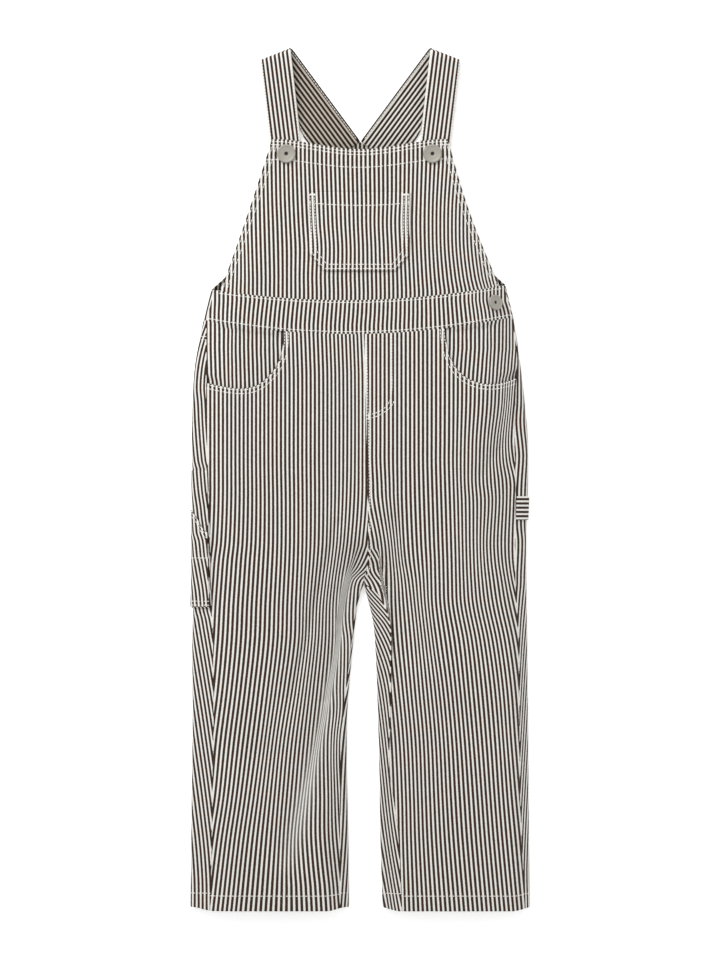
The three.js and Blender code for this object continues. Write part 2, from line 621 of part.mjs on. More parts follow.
function strapPiece(mirror) {
  const middleSurface = strapSurface(mirror);
  const lengths = [];
  for (let i = 0; i <= 7; i++) lengths.push(-strap.backLength + (strap.backLength - 14) * i / 7);
  for (const near of [-9, -6.2, -4.6, -3.2, -1.8, -0.6, 0.6, 1.8, 3.2, 4.6, 6.2, 9]) lengths.push(near);
  for (let i = 1; i <= 6; i++) lengths.push(14 + (strap.frontLength - 14) * (i - 1) / 5);
  const across = 4;
  const skew = Math.tan(THREE.MathUtils.degToRad(strap.lean));
  return clothWall(lengths.length - 1, across, (r, c) => {
    const u = (2 * c) / across - 1;
    const square = smooth((Math.abs(lengths[r]) - 8) / 30);
    const length = lengths[r] - u * strap.foldWidth / 2 * skew * (1 - square);
    const p = middleSurface(length, u);
    const du = middleSurface(length + 0.02, u).sub(middleSurface(length - 0.02, u));
    const dv = middleSurface(length, u + 0.002).sub(middleSurface(length, u - 0.002));
    const n = du.cross(dv).normalize().multiplyScalar(mirror > 0 ? -1 : 1);
    return [p.addScaledVector(n, strapCloth / 2), n];
  }, strapCloth);
}

// A patch on the outer side of a leg, from its seam round the fold, made from the leg's points moved out.
function sidePatch(half, topAt, bottomAt, stackedOn, thickness, rowsDown) {
  const inward = half === 'left' ? 1 : -1;
  const around = 7;
  const lowest = -fold.under * patchTurn;
  const surface = (r, c) => {
    const turn = c / around;
    const y = mix(topAt(turn), bottomAt(turn), r / rowsDown);
    const seamAlong = alongAt(side[half + 'Seam'](y), fold.over) - 1.2;
    return roundFold(half, side[half + 'Fold'](y), inward, mix(seamAlong, lowest, turn), y);
  };
  return clothWall(rowsDown, around, (r, c) => ringNormal(surface, r, c, middleOf(inward * -124)), thickness,
    stackedOn + thickness);
}

// A shank button: rounded rim, slightly dished face and a small pit in the middle.
function buttonGeometry(diameter) {
  const { height, pit, pitDepth, dish } = buttons;
  const radius = diameter / 2;
  const profile = [
    [0, height - dish - pitDepth], [pit * 0.8, height - dish - pitDepth], [pit, height - dish],
    [radius * 0.72, height - dish], [radius * 0.84, height], [radius * 0.93, height],
    [radius, height * 0.62], [radius * 0.97, height * 0.2], [radius * 0.88, 0], [0, 0],
  ];
  return new THREE.LatheGeometry(profile.map(([r, z]) => new THREE.Vector2(r, z)).reverse(), 24)
    .rotateX(Math.PI / 2);
}

function placeButton(name, diameter, point, normal, clearance) {
  const mesh = add(name, buttonGeometry(diameter), metal);
  mesh.quaternion.setFromUnitVectors(new THREE.Vector3(0, 0, 1), normal);
  mesh.position.copy(point).addScaledVector(normal, clearance);
}

add('bib', bibPanel());
add('bib_pocket', chestPocket());
add('waistband_front', frontWaistband());
add('waistband_back', backWaistband());
add('back_yoke', backYoke());
for (const half of ['left', 'right']) {
  add('front_leg_' + half, frontLeg(half));
  add('back_leg_' + half, backPanel(half));
  add('outer_turn_' + half, outerTurn(half));
  add('inner_turn_' + half, innerTurn(half));
  add('hip_pocket_' + half, hipBacking(half), clothDark);
  add('strap_' + half, strapPiece(half === 'left' ? 1 : -1));
}
add('tool_pocket', sidePatch('left', () => toolPocket.top, () => toolPocket.bottom, layerGap, 1.0, 6));
add('ruler_pocket', sidePatch('left', (turn) => mix(rulerPocket.topSeam, rulerPocket.topFold, smooth(turn)),
  () => rulerPocket.bottom, 2 * layerGap + 1.0, 1.0, 5), clothDark);
add('hammer_loop', sidePatch('right', () => hammerLoop.top, () => hammerLoop.bottom, layerGap, 1.2, 2));

for (const sign of [-1, 1]) {
  const [point, normal] = onBib(sign * buttons.bibX, buttons.bibY);
  placeButton(sign < 0 ? 'button_bib_left' : 'button_bib_right', buttons.bibDiameter, point, normal, layerGap);
}
const waistButtonPoint = new THREE.Vector3(buttons.waistX, buttons.waistY,
  topHeight('right', buttons.waistX, buttons.waistY));
placeButton('button_waist', buttons.waistDiameter, waistButtonPoint,
  topNormal('right', buttons.waistX, buttons.waistY), 0.6);

export default garment;
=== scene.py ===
# Toddler's bib overalls in brown and white hickory stripe twill, laid flat on their back.
# Sizes are in millimetres and become metres when a mesh is made. Left and right are the viewer's.
import math
import bpy
import numpy as np
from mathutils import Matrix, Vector


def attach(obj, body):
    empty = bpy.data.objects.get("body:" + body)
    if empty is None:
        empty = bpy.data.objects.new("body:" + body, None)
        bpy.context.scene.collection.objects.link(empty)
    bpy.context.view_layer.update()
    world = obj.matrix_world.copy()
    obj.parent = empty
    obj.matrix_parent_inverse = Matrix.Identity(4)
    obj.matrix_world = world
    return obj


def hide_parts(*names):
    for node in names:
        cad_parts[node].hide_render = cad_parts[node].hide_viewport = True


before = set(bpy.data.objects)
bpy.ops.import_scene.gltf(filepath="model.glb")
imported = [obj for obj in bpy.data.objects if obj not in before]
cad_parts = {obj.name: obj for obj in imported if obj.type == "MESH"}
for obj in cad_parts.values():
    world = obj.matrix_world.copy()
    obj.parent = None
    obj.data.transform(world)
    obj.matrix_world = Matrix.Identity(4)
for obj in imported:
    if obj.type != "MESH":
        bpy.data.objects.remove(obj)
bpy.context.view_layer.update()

perMetre = 0.001

# Sizes that several pieces share.
cloth = {"twill": 1.1, "light": 0.9, "strap": 1.9, "edge": 0.55, "pitch": 3.49, "phase": 0.38}
gap = {"seam": -0.5, "layer": 0.4, "pocket": 0.8, "twillInCad": 1.5, "lightInCad": 1.1}
fold = {"height": 4.5, "under": 5.0, "slopeReach": 16}
profile = {
    "left": {"over": 2.6, "rise": 2.2, "slope": 2.3},
    "right": {"over": 6.5, "rise": 4.0, "slope": 0.5},
}
crotch = {"x": 3.3, "y": -85.0, "fall": 46.0}
hem = {"y": -353.6, "corner": 3.2}
waistTop = {"mid": 147.4, "sag": 10.0, "tilt": 2.0, "reach": 118.0}
waistBottom = {"mid": 119.7, "sag": 13.0, "tilt": 1.7, "reach": 127.0}
seamInset = gap["seam"] / 2 + cloth["edge"]   # from a seam line to the grid of the panel beside it
sideX = 126.0   # about where the sides are, for the height of a seam there
halves = {"left": 1, "right": -1}   # with the way inwards from the outer side

sideColumns = ("y", "leftFold", "leftSeam", "leftFall", "rightSeam", "rightFold", "rightFall")
sideRows = (
    (160, -121.2, 2.6, 30, 1.0, 119.4, 20),
    (130, -128.6, 3.0, 30, 1.0, 126.4, 22),
    (100, -134.6, 8.5, 31, 1.4, 130.8, 26),
    (78, -136.8, 10.6, 32, 5.6, 133.6, 30),
    (35, -138.2, 12.4, 34, 11.0, 137.6, 46),
    (0, -137.3, 13.0, 34, 10.0, 137.9, 48),
    (-40, -136.2, 12.6, 34, 9.4, 136.6, 44),
    (-90, -136.3, 14.0, 36, 8.8, 136.6, 26),
    (-132, -137.8, 17.1, 40, 7.0, 137.2, 16),
    (-190, -137.4, 17.2, 42, 7.0, 137.8, 14),
    (-260, -138.2, 17.0, 40, 7.0, 138.4, 14),
    (-354, -139.2, 16.2, 38, 4.0, 139.2, 14),
)
innerColumns = ("y", "leftFold", "leftSeam", "leftFall", "rightFold", "rightSeam", "rightFall")
innerRows = (
    (-85, 3.3, 0.6, 46, 3.3, 0.6, 46),
    (-92, 0.6, 0.7, 47, 4.9, 9.0, 44),
    (-105, -2.4, 0.8, 48, 8.2, 12.4, 43),
    (-120, -4.2, 1.0, 50, 11.2, 13.6, 40),
    (-150, -7.2, 1.6, 52, 13.2, 11.8, 30),
    (-190, -10.4, 3.0, 50, 14.6, 10.0, 20),
    (-235, -10.8, 5.2, 42, 15.8, 8.2, 18),
    (-290, -9.6, 6.6, 28, 16.6, 14.6, 17),
    (-354, -9.0, 7.4, 20, 18.6, 15.8, 16),
)
middleColumns = ("y", "seam", "crown")
middleRows = (
    (160, 3.3, 9), (100, 4.0, 12.5), (30, 5.4, 14.5), (-40, 6.6, 14.5), (-70, 6.4, 14.5),
    (-85, 3.3, 14.5), (-200, 3.3, 13), (-300, 3.3, 10.5), (-354, 3.3, 8.5),
)

# Soft folds: fromX, fromY, toX, toY, half width and rise. The large ones are in the solids too.
largeFolds = (
    (-22, -45, -60, -195, 13, -2.4),
    (-14, -96, -62, -312, 12, -2.2),
    (27, -28, 50, -150, 12, -2.8),
    (118, 36, 98, -8, 13, -2.2),
    (60, -190, 122, -214, 17, -1.3),
    (-118, -214, -70, -236, 17, -1.4),
    (-96, -300, -44, -336, 16, 1.3),
)
fineFolds = (
    (-18, -33, -57, -181, 3.2, -1.5),
    (0, -58, -17, -118, 3.0, -1.2),
    (-15, -112, -30, -184, 3.0, -1.3),
    (-28, -178, -44, -248, 3.2, -1.2),
    (-42, -244, -62, -312, 3.4, -0.9),
    (28, -29, 36, -74, 3.4, -1.1),
    (35, -70, 50, -142, 3.4, -1.1),
    (119, 33, 97, 0, 3.2, -0.9),
    (119, 66, 115, 24, 2.6, -0.7),
    (115, 26, 125, -18, 2.6, -0.7),
    (19, -70, 25, -112, 2.6, -1.6),
    (25, -110, 22, -182, 2.2, -0.9),
)


def smooth(t):
    s = np.clip(t, 0, 1)
    return s * s * (3 - 2 * s)


def mix(a, b, t):
    return a + (b - a) * t


def curveThrough(places, values):  # a smooth curve through a table's column
    order = np.argsort(places)
    places = np.asarray(places, float)[order]
    values = np.asarray(values, float)[order]
    before = np.maximum(np.arange(len(places)) - 1, 0)
    after = np.minimum(np.arange(len(places)) + 1, len(places) - 1)
    slopes = (values[after] - values[before]) / (places[after] - places[before])

    def at(place):
        p = np.clip(np.asarray(place, float), places[0], places[-1])
        i = np.clip(np.searchsorted(places, p, side="right") - 1, 0, len(places) - 2)
        h = places[i + 1] - places[i]
        t = (p - places[i]) / h
        return (values[i] * (1 + 2 * t) * (1 - t) ** 2 + slopes[i] * h * t * (1 - t) ** 2
                + values[i + 1] * t * t * (3 - 2 * t) - slopes[i + 1] * h * t * t * (1 - t))
    return at


def curveOf(rows, column=1):
    return curveThrough([row[0] for row in rows], [row[column] for row in rows])


def readTable(columns, rows):
    return {name: curveOf(rows, i) for i, name in enumerate(columns) if i > 0}


def unit(vectors):
    return vectors / np.maximum(np.linalg.norm(vectors, axis=-1, keepdims=True), 1e-9)


def lengthAcross(points):  # the cloth's own length along each row of its grid
    steps = np.linalg.norm(np.diff(points, axis=1), axis=2)
    return np.concatenate([np.zeros((len(points), 1)), np.cumsum(steps, axis=1)], 1)


side = readTable(sideColumns, sideRows)
inside = readTable(innerColumns, innerRows)
middle = readTable(middleColumns, middleRows)


def sagging(band, x):
    return band["mid"] + band["sag"] * (x / band["reach"]) ** 2 + band["tilt"] * (x / band["reach"])


def straightAcross(band, x):  # the back's seams run straight from side to side
    return mix(sagging(band, -band["reach"]), sagging(band, band["reach"]), (x / band["reach"] + 1) / 2)


def quarterTurn(along, reach):  # inset from the fold's outermost line, and rise as a share
    angle = np.minimum(along / reach, math.pi / 2)
    return reach * (1 - np.cos(angle)) + along - reach * angle, np.sin(angle)


def riseAt(inset, reach):
    rounded = np.sqrt(np.clip(1 - (1 - np.clip(inset, 0, reach) / reach) ** 2, 0, 1))
    return np.where(inset >= reach, 1.0, rounded)


def alongAt(inset, reach):
    bent = reach * np.arccos(np.clip(1 - inset / reach, -1, 1))
    return np.where(inset >= reach, reach * (math.pi / 2 - 1) + inset, bent)


def foldsAt(folds, x, y):
    total = 0
    for fromX, fromY, toX, toY, half, rise in folds:
        dx, dy = toX - fromX, toY - fromY
        length = math.hypot(dx, dy)
        along = ((x - fromX) * dx + (y - fromY) * dy) / length
        across = ((x - fromX) * dy - (y - fromY) * dx) / length
        ends = smooth((along + half) / (2 * half)) * smooth((length + half - along) / (2 * half))
        total = total + rise * ends * np.exp(-((across / half) ** 2))
    return total


def waves(x, y, size, seed):  # a gentle unevenness between about -1 and 1
    chance = np.random.default_rng(seed)
    total = 0
    for _ in range(7):
        angle = chance.uniform(0, 2 * math.pi)
        length = size * chance.uniform(0.7, 1.6)
        phase = chance.uniform(0, 2 * math.pi)
        total = total + np.sin(2 * math.pi * (x * math.cos(angle) + y * math.sin(angle)) / length + phase)
    return total / 4


# A tuck is a narrow fold that runs down the leg and swallows cloth: its place, the stripes that
# it hides, half its width, and how far the cloth steps down across it.
tuckColumns = ("y", "x", "hidden", "half", "step")
tuckRows = {
    "left": (
        (-54, -2.0, 0, 2.0, 0), (-66, -6.0, 0.8, 2.4, 0.8), (-74, -8.6, 1.6, 2.6, 1.6),
        (-82, -10.3, 3.5, 3.4, 2.6),
        (-93, -13.2, 4.1, 3.2, 3.2), (-115, -16.8, 4.3, 2.9, 3.4), (-132, -18.0, 3.6, 2.4, 3.0),
        (-151, -20.9, 3.3, 2.8, 2.6), (-171, -25.4, 3.0, 3.4, 2.4), (-191, -28.9, 2.1, 3.4, 2.2),
        (-211, -33.5, 1.9, 3.8, 2.0), (-262, -46.0, 1.0, 5.8, 1.6), (-300, -55.0, 0.4, 7.0, 0.9),
        (-332, -62.0, 0, 8.0, 0),
    ),
    "right": (
        (-56, 15.0, 0, 1.0, 0), (-66, 16.3, 1.5, 0.8, -1.2), (-75, 17.0, 2.4, 0.8, -2.2),
        (-84, 18.5, 4.2, 0.8, -3.0),
        (-94, 20.5, 5.0, 0.8, -3.2), (-110, 24.0, 5.0, 0.7, -3.0), (-150, 24.0, 4.0, 0.7, -2.4),
        (-190, 23.0, 2.0, 1.4, -1.6), (-240, 22.0, 0, 1.4, 0),
    ),
}
tuck = {half: readTable(tuckColumns, tuckRows[half]) for half in tuckRows}


tuckReach = {"left": 16, "right": 18}


def tuckRelief(half, x, y):  # a steep step down, and a slow rise back beyond it
    fold = tuck[half]
    across = x - fold["x"](y)
    width = fold["half"](y)
    back = smooth((across - width) / tuckReach[half])
    return -halves[half] * fold["step"](y) * (smooth(across / (2 * width) + 0.5) - back)


relief = {"slow": 0.55, "slowSize": 70, "quick": 0.14, "quickSize": 17, "pucker": 0.22}
# Puckers beside the seams: their pitch, how far they reach and a seed.
puckers = {"side": (7.5, 4.5, 3), "centre": (8.6, 5, 5), "waist": (9.2, 7, 7), "hem": (8.3, 8, 9)}


def insets(half, x, y):
    inward = halves[half]
    above = y >= crotch["y"]
    fromFold = inward * (inside[half + "Fold"](y) - x)
    inner = np.where(above, np.hypot(x - crotch["x"], y - crotch["y"]), fromFold)
    fall = np.where(above, crotch["fall"], inside[half + "Fall"](y))
    return inward * (x - side[half + "Fold"](y)), inner, side[half + "Fall"](y), fall


def crownAt(half, x, y):
    outer, inner, outerFall, innerFall = insets(half, x, y)
    share = smooth(outer / outerFall) * smooth(inner / innerFall)
    return share * (middle["crown"](y) + foldsAt(largeFolds, x, y))


def puckerAt(name, x, y, away, along, drift=2.0, size=40):
    pitch, reach, seed = puckers[name]
    phase = 2 * math.pi * along / pitch + drift * waves(x, y, size, seed)
    return np.exp(-np.abs(away) / reach) * np.sin(phase)


def fineRelief(half, x, y):
    outer, inner, outerFall, innerFall = insets(half, x, y)
    fromCentre = np.where(y >= crotch["y"], np.abs(x - middle["seam"](y)), 40)
    beside = (puckerAt("side", x, y, outer - side[half + "Seam"](y), y)
              + puckerAt("centre", x, y, fromCentre, y)
              + 1.2 * puckerAt("waist", x, y, sagging(waistBottom, x) - y, x, 2.2, 50)
              + puckerAt("hem", x, y, y - (hem["y"] + 12), x + 0.5 * y))
    slow = relief["slow"] * waves(x, y, relief["slowSize"], 11)
    quick = relief["quick"] * waves(x, y, relief["quickSize"], 12)
    creases = foldsAt(fineFolds, x, y) + tuckRelief(half, x, y) + slow + quick
    return (smooth(outer / 12) * smooth(inner / 12) * creases
            + relief["pucker"] * beside * smooth(outer / 8) * smooth(inner / 8))


def sideRise(half, inset, roundness):  # how far the cloth is above the fold's outermost line
    p = profile[half]
    return p["rise"] * roundness + p["slope"] * (1 - (1 - np.clip(inset / fold["slopeReach"], 0, 1)) ** 2)


def topHeight(half, x, y):
    outer, inner, outerFall, innerFall = insets(half, x, y)
    inset = np.minimum(outer, inner)
    edge = sideRise(half, inset, riseAt(inset, profile[half]["over"]))
    return fold["height"] + edge + crownAt(half, x, y) + fineRelief(half, x, y)


def topOf(x, y):
    return np.where(x < crotch["x"], topHeight("left", x, y), topHeight("right", x, y))


def onCloth(x, y):
    return np.stack([x, y, topOf(x, y)], -1)


def roundFold(half, foldX, inward, along, y):
    insetOver, riseOver = quarterTurn(np.maximum(along, 0), profile[half]["over"])
    insetUnder, riseUnder = quarterTurn(np.maximum(-along, 0), fold["under"])
    x = foldX + inward * np.where(along >= 0, insetOver, insetUnder)
    over = fold["height"] + sideRise(half, insetOver, riseOver) + crownAt(half, x, y)
    return x, np.where(along >= 0, over, fold["height"] * (1 - riseUnder))



def alongToSeam(half, y, table=side):
    return alongAt(table[half + "Seam"](y), profile[half]["over"])


def gridNormals(points):
    return unit(np.cross(np.gradient(points, axis=0), np.gradient(points, axis=1)))


def gridFaces(rows, columns):
    r, c = np.meshgrid(np.arange(rows - 1), np.arange(columns - 1), indexing="ij")
    a = (r * columns + c).ravel()
    return [tuple(f) for f in np.stack([a, a + 1, a + columns + 1, a + columns], 1).tolist()]


def weld(points, normals, marks, faces):
    keys = np.round(points / 0.002).astype(np.int64)
    _, first, same = np.unique(keys, axis=0, return_index=True, return_inverse=True)
    same = same.ravel()
    summed = np.zeros((len(first), 3))
    np.add.at(summed, same, normals)
    summed = unit(summed)
    kept = []
    for face in faces:
        corners = []
        for v in face:
            w = int(same[v])
            if not corners or corners[-1] != w:
                corners.append(w)
        if len(corners) > 1 and corners[0] == corners[-1]:
            corners.pop()
        if len(set(corners)) > 2:
            kept.append(tuple(corners))
    return points[first], summed, marks[first], kept


rimDegrees = (40, 90, 140)


def sewnShell(name, points, normals, marks, faces, thickness):
    # An outer and an inner face of cloth, joined by a rounded rim along every border.
    count = len(points)
    directed = {(a, face[(i + 1) % len(face)]) for face in faces for i, a in enumerate(face)}
    border = sorted((a, b) for a, b in directed if (b, a) not in directed)
    away = np.zeros((count, 3))
    for a, b in border:
        step = unit(points[b] - points[a])
        away[a] += np.cross(step, normals[a])
        away[b] += np.cross(step, normals[b])
    rim = sorted({v for edge in border for v in edge})
    ringOf = {v: i for i, v in enumerate(rim)}
    rings = range(len(rimDegrees))
    half = thickness / 2
    allPoints = [points, points - normals * thickness]
    for angle in np.radians(rimDegrees):
        turned = normals[rim] * math.cos(angle) + unit(away[rim]) * math.sin(angle)
        allPoints.append(points[rim] - normals[rim] * half + turned * half)
    allMarks = [marks, marks] + [marks[rim]] * len(rimDegrees)
    allFaces = list(faces) + [tuple(v + count for v in reversed(face)) for face in faces]
    for a, b in border:
        chainA, chainB = [[v] + [2 * count + k * len(rim) + ringOf[v] for k in rings] + [count + v]
                          for v in (a, b)]
        for k in range(len(rings) + 1):
            allFaces.append((chainB[k], chainA[k], chainA[k + 1], chainB[k + 1]))
    return makeMesh(name, np.concatenate(allPoints), allFaces, np.concatenate(allMarks))


def makeMesh(name, points, faces, marks):
    mesh = bpy.data.meshes.new(name)
    mesh.from_pydata((points * perMetre).tolist(), [], faces)
    mesh.update()
    layer = mesh.uv_layers.new(name="weave")
    loops = np.zeros(len(mesh.loops), dtype=np.int64)
    mesh.loops.foreach_get("vertex_index", loops)
    layer.data.foreach_set("uv", marks[loops, :2].astype(np.float32).ravel())
    if marks.shape[1] > 2:
        shaded = mesh.attributes.new("shaded", "FLOAT", "POINT")
        shaded.data.foreach_set("value", marks[:, 2].astype(np.float32))
    mesh.polygons.foreach_set("use_smooth", [True] * len(mesh.polygons))
    piece = bpy.data.objects.new(name, mesh)
    bpy.context.scene.collection.objects.link(piece)
    return piece


def clothFromGrid(name, points, marks, thickness, outwardAt, clip=None):
    normals = gridNormals(points)
    faces = gridFaces(*points.shape[:2])
    if np.sum(normals * outwardAt(points)) < 0:
        normals = -normals
    else:
        faces = [face[::-1] for face in faces]
    parts = points.reshape(-1, 3), normals.reshape(-1, 3), marks.reshape(-1, marks.shape[-1]), faces
    if clip is not None:
        parts = clipFaces(*parts, clip.ravel())
    return sewnShell(name, *weld(*parts), thickness)


def clipFaces(points, normals, marks, faces, distance):
    # Keeps what lies where distance is positive and cuts the faces that cross it.
    grown = {"points": [], "normals": [], "marks": []}
    cutOf = {}

    def cutAt(a, b):
        a, b = min(a, b), max(a, b)
        if (a, b) not in cutOf:
            t = distance[a] / (distance[a] - distance[b])
            grown["points"].append(mix(points[a], points[b], t))
            grown["normals"].append(unit(mix(normals[a], normals[b], t)))
            grown["marks"].append(mix(marks[a], marks[b], t))
            cutOf[a, b] = len(points) + len(cutOf)
        return cutOf[a, b]

    kept = []
    for face in faces:
        corners = []
        for v, w in zip(face, face[1:] + face[:1]):
            if distance[v] > 0:
                corners.append(v)
            if (distance[v] > 0) != (distance[w] > 0):
                corners.append(cutAt(v, w))
        if len(corners) > 2:
            kept.append(tuple(corners))
    used = sorted({v for face in kept for v in face})
    place = {v: i for i, v in enumerate(used)}
    joined = [np.concatenate([old, np.array(grown[key]).reshape(-1, old.shape[1])])[used]
              for key, old in (("points", points), ("normals", normals), ("marks", marks))]
    return *joined, [tuple(place[v] for v in face) for face in kept]


def upwards(points):
    return np.array([0, 0, 1.0])


def outwardFrom(lowX, highX):  # outwards from a level core inside the folded cloth
    def outwardAt(points):
        x = np.clip(points[..., 0], lowX, highX)
        return points - np.stack([x, points[..., 1], np.full(x.shape, fold["height"] + 0.5)], -1)
    return outwardAt


# Where counted stripes lie at each height. Between them the stripes are evenly spread.
stripeCounts = {"left": (0, 12, 18, 24, 30, 35), "right": (0, 3, 8, 14, 20, 26, 29, 32, 37)}
stripePlaces = {
    "left": (
        (120, -109.2, -68.9, -48.9, -28.3, -8.8, 6.6),
        (102, -109.2, -68.8, -48.2, -27.6, -8.1, 7.3),
        (85, -109.2, -68.6, -47.7, -27.1, -7.6, 7.8),
        (16, -109.2, -68.6, -47.7, -27.1, -7.6, 7.8),
        (-17, -109.3, -68.1, -47.4, -27.0, -8.4, 7.8),
        (-50, -110.7, -68.1, -47.5, -27.6, -10.6, 5.0),
        (-66, -112.6, -68.6, -47.9, -28.9, -12.9, 2.6),
        (-82, -113.8, -69.4, -48.6, -30.8, -15.4, -1.5),
        (-102, -115.3, -70.4, -49.5, -33.0, -17.1, -2.0),
        (-132, -117.0, -71.5, -50.5, -34.5, -17.2, -2.9),
        (-171, -120.5, -75.9, -55.8, -38.5, -19.4, -5.7),
        (-214, -126.0, -81.3, -62.6, -43.0, -24.2, -12.7),
        (-260, -130.0, -87.5, -67.1, -46.9, -26.1, -13.0),
        (-296, -135.7, -92.5, -69.9, -49.8, -27.5, -11.5),
        (-354, -143.5, -98.5, -73.8, -47.9, -24.0, -7.8),
    ),
    "right": (
        (120, 6.2, 16.3, 33.5, 54.7, 76.2, 97.6, 107.8, 117.3, 130.2),
        (65, 6.2, 16.3, 33.5, 54.7, 76.2, 97, 107.3, 116.4, 125.9),
        (33, 6.2, 16.3, 33.5, 54.7, 76, 95, 104.6, 112.4, 123.7),
        (16, 6.2, 16.3, 33.5, 54.7, 75.8, 94.6, 103.8, 111.6, 125.3),
        (-1, 6.8, 17.2, 33.6, 55.1, 76.2, 94.4, 103.7, 113.3, 129.2),
        (-17, 7.4, 18.1, 33.8, 55.6, 76.7, 95.5, 105.2, 114, 128.7),
        (-50, 13.8, 22.9, 35.3, 56.7, 77.6, 95.5, 103.5, 112.4, 127.7),
        (-66, 14.8, 24.4, 36.7, 57.5, 78, 95.9, 104.1, 113.2, 127.9),
        (-82, 12.7, 25.3, 39.4, 57.9, 78.3, 96.8, 105.8, 115.6, 130),
        (-102, 14.4, 25.5, 41.7, 58.6, 79.1, 98.8, 108.6, 118.7, 135.5),
        (-132, 16.4, 27.1, 44.7, 62.2, 84.5, 104.9, 114.9, 125.1, 142.1),
        (-171, 21.3, 31.2, 47.9, 67.6, 88.5, 110.1, 120.1, 130.3, 147.3),
        (-214, 25.4, 35.2, 51.7, 71.5, 92.4, 113.8, 123.4, 133.6, 150.6),
        (-260, 27.5, 37.3, 53.5, 74, 95.9, 116.9, 127.3, 137.5, 154.5),
        (-296, 28.3, 38.1, 54.9, 76.3, 98.5, 119.9, 130.9, 141.1, 158.1),
        (-354, 30, 40, 58.5, 81.2, 103.6, 125.4, 136, 146.2, 163.2),
    ),
}



def stripesAt(counts, rows, x, y):
    knots = [curveOf(rows, i + 1)(y) for i in range(len(counts))]
    stripe = counts[0] + (x - knots[0]) / cloth["pitch"]
    for i in range(len(knots) - 1):
        between = (x - knots[i]) / np.maximum(knots[i + 1] - knots[i], 0.5)
        stripe = np.where(x >= knots[i], mix(counts[i], counts[i + 1], between), stripe)
    stripe = np.where(x >= knots[-1], counts[-1] + (x - knots[-1]) / cloth["pitch"], stripe)
    return stripe + cloth["phase"]


def legStripes(half, x, y):
    passed = smooth((x - tuck[half]["x"](y)) / (2 * tuck[half]["half"](y)) + 0.5)
    hidden = tuck[half]["hidden"](y) * (passed if half == "left" else passed - 1)
    return stripesAt(stripeCounts[half], stripePlaces[half], x, y) + hidden


# The way of one dark stripe down the strips of the back legs beside the seams, and down the pockets there.
stripeWays = {
    "left": ((129, -122.2), (112, -128.7), (95, -133.1), (77, -135.1), (63, -134), (44, -133), (16, -130.5),
             (8, -128.4), (-9, -126.9), (-22, -124.8), (-30, -123.8), (-106, -112.1), (-115, -109.6),
             (-197, -94.5), (-287, -81.1), (-325, -77.5), (-354, -77)),
    "right": ((110, 129.6), (66, 129.3), (47, 128.3), (29, 130), (19, 130.7), (0, 129.4), (-12, 128.9),
              (-38, 128.9),
              (-51, 130.1), (-76, 129.2), (-88, 128.9), (-200, 116.4), (-312, 104), (-354, 103.6)),
    "toolPocket": ((8, -131.9), (-9, -130.3), (-22, -128.2), (-30, -127.2), (-105, -115.9)),
    "rulerPocket": ((-24, -133.2), (-43, -131.8), (-50, -129.6), (-63, -128), (-66, -127.2), (-79, -124.6),
                    (-91, -122.4), (-105, -121)),
}


def wayOf(name, y):
    return curveOf(stripeWays[name])(y)


bibCounts = (-12, -6, 0, 9, 18, 27, 36, 42, 48, 54)
bibPlaces = (
    (259, -111, -90.3, -69.6, -38.8, -6.7, 25.7, 57.4, 77.9, 98.5, 119),
    (229, -110.5, -89.6, -69, -37.6, -6, 25.7, 56.2, 75.5, 94.5, 113),
    (210, -109.5, -89.4, -68.2, -36.7, -5.6, 25.1, 55.9, 75, 93.7, 112),
    (190, -107.4, -88.9, -67.6, -35.3, -4.7, 25.9, 56.2, 75.4, 94.1, 111.5),
    (167, -107.6, -88.2, -67.2, -36.1, -4.7, 26.7, 57.4, 77.7, 96.9, 113.5),
    (155, -108.2, -88.2, -67.3, -35.8, -4.3, 26.9, 58.4, 79.6, 100, 116.4),
)
bandCounts = (3, 12, 24, 36, 48, 60, 70)
bandPlaces = (
    (147, -112.3, -79.6, -36.9, 5.1, 46.7, 88.6, 118.5),
    (137, -112.7, -80.8, -37.8, 4.7, 46.7, 89.7, 121.4),
    (127, -112.8, -81.7, -38.5, 3.9, 46.5, 90.9, 122.2),
)


def levelY(base, x, seam=sagging):
    waistShare = smooth((base - 30) / (waistBottom["mid"] - 30))
    hemShare = smooth((-320 - base) / (-320 - hem["y"]))
    legMiddle = np.where(x < crotch["x"], -74.0, 79.0)
    return (base + waistShare * (seam(waistBottom, x) - waistBottom["mid"])
            + hemShare * hem["corner"] * smooth((np.abs(x - legMiddle) - 46) / 18) - gap["seam"] / 2 * waistShare)


hipOpening = {
    "left": ((-62.6, 121), (-63.6, 107.3), (-66.6, 96.9), (-70.9, 89.5), (-76.7, 83.1), (-82.4, 78.5),
             (-88.7, 75.9),
             (-96.3, 74.8), (-104.9, 75.3), (-116.4, 77.3), (-128, 80)),
    "right": ((69.6, 126), (71.0, 112.8), (74.1, 100.5), (79.2, 91.2), (85.9, 84.6), (94.6, 80.4),
              (104.2, 78.4),
              (115.4, 79.4), (124, 82), (130, 85.4)),
}


def smoothLine(corners, count):
    corners = np.array(corners, float)
    steps = np.concatenate([[0], np.cumsum(np.linalg.norm(np.diff(corners, axis=0), axis=1))])
    at = np.linspace(0, steps[-1], count)
    return np.stack([curveThrough(steps, corners[:, i])(at) for i in range(corners.shape[1])], 1)


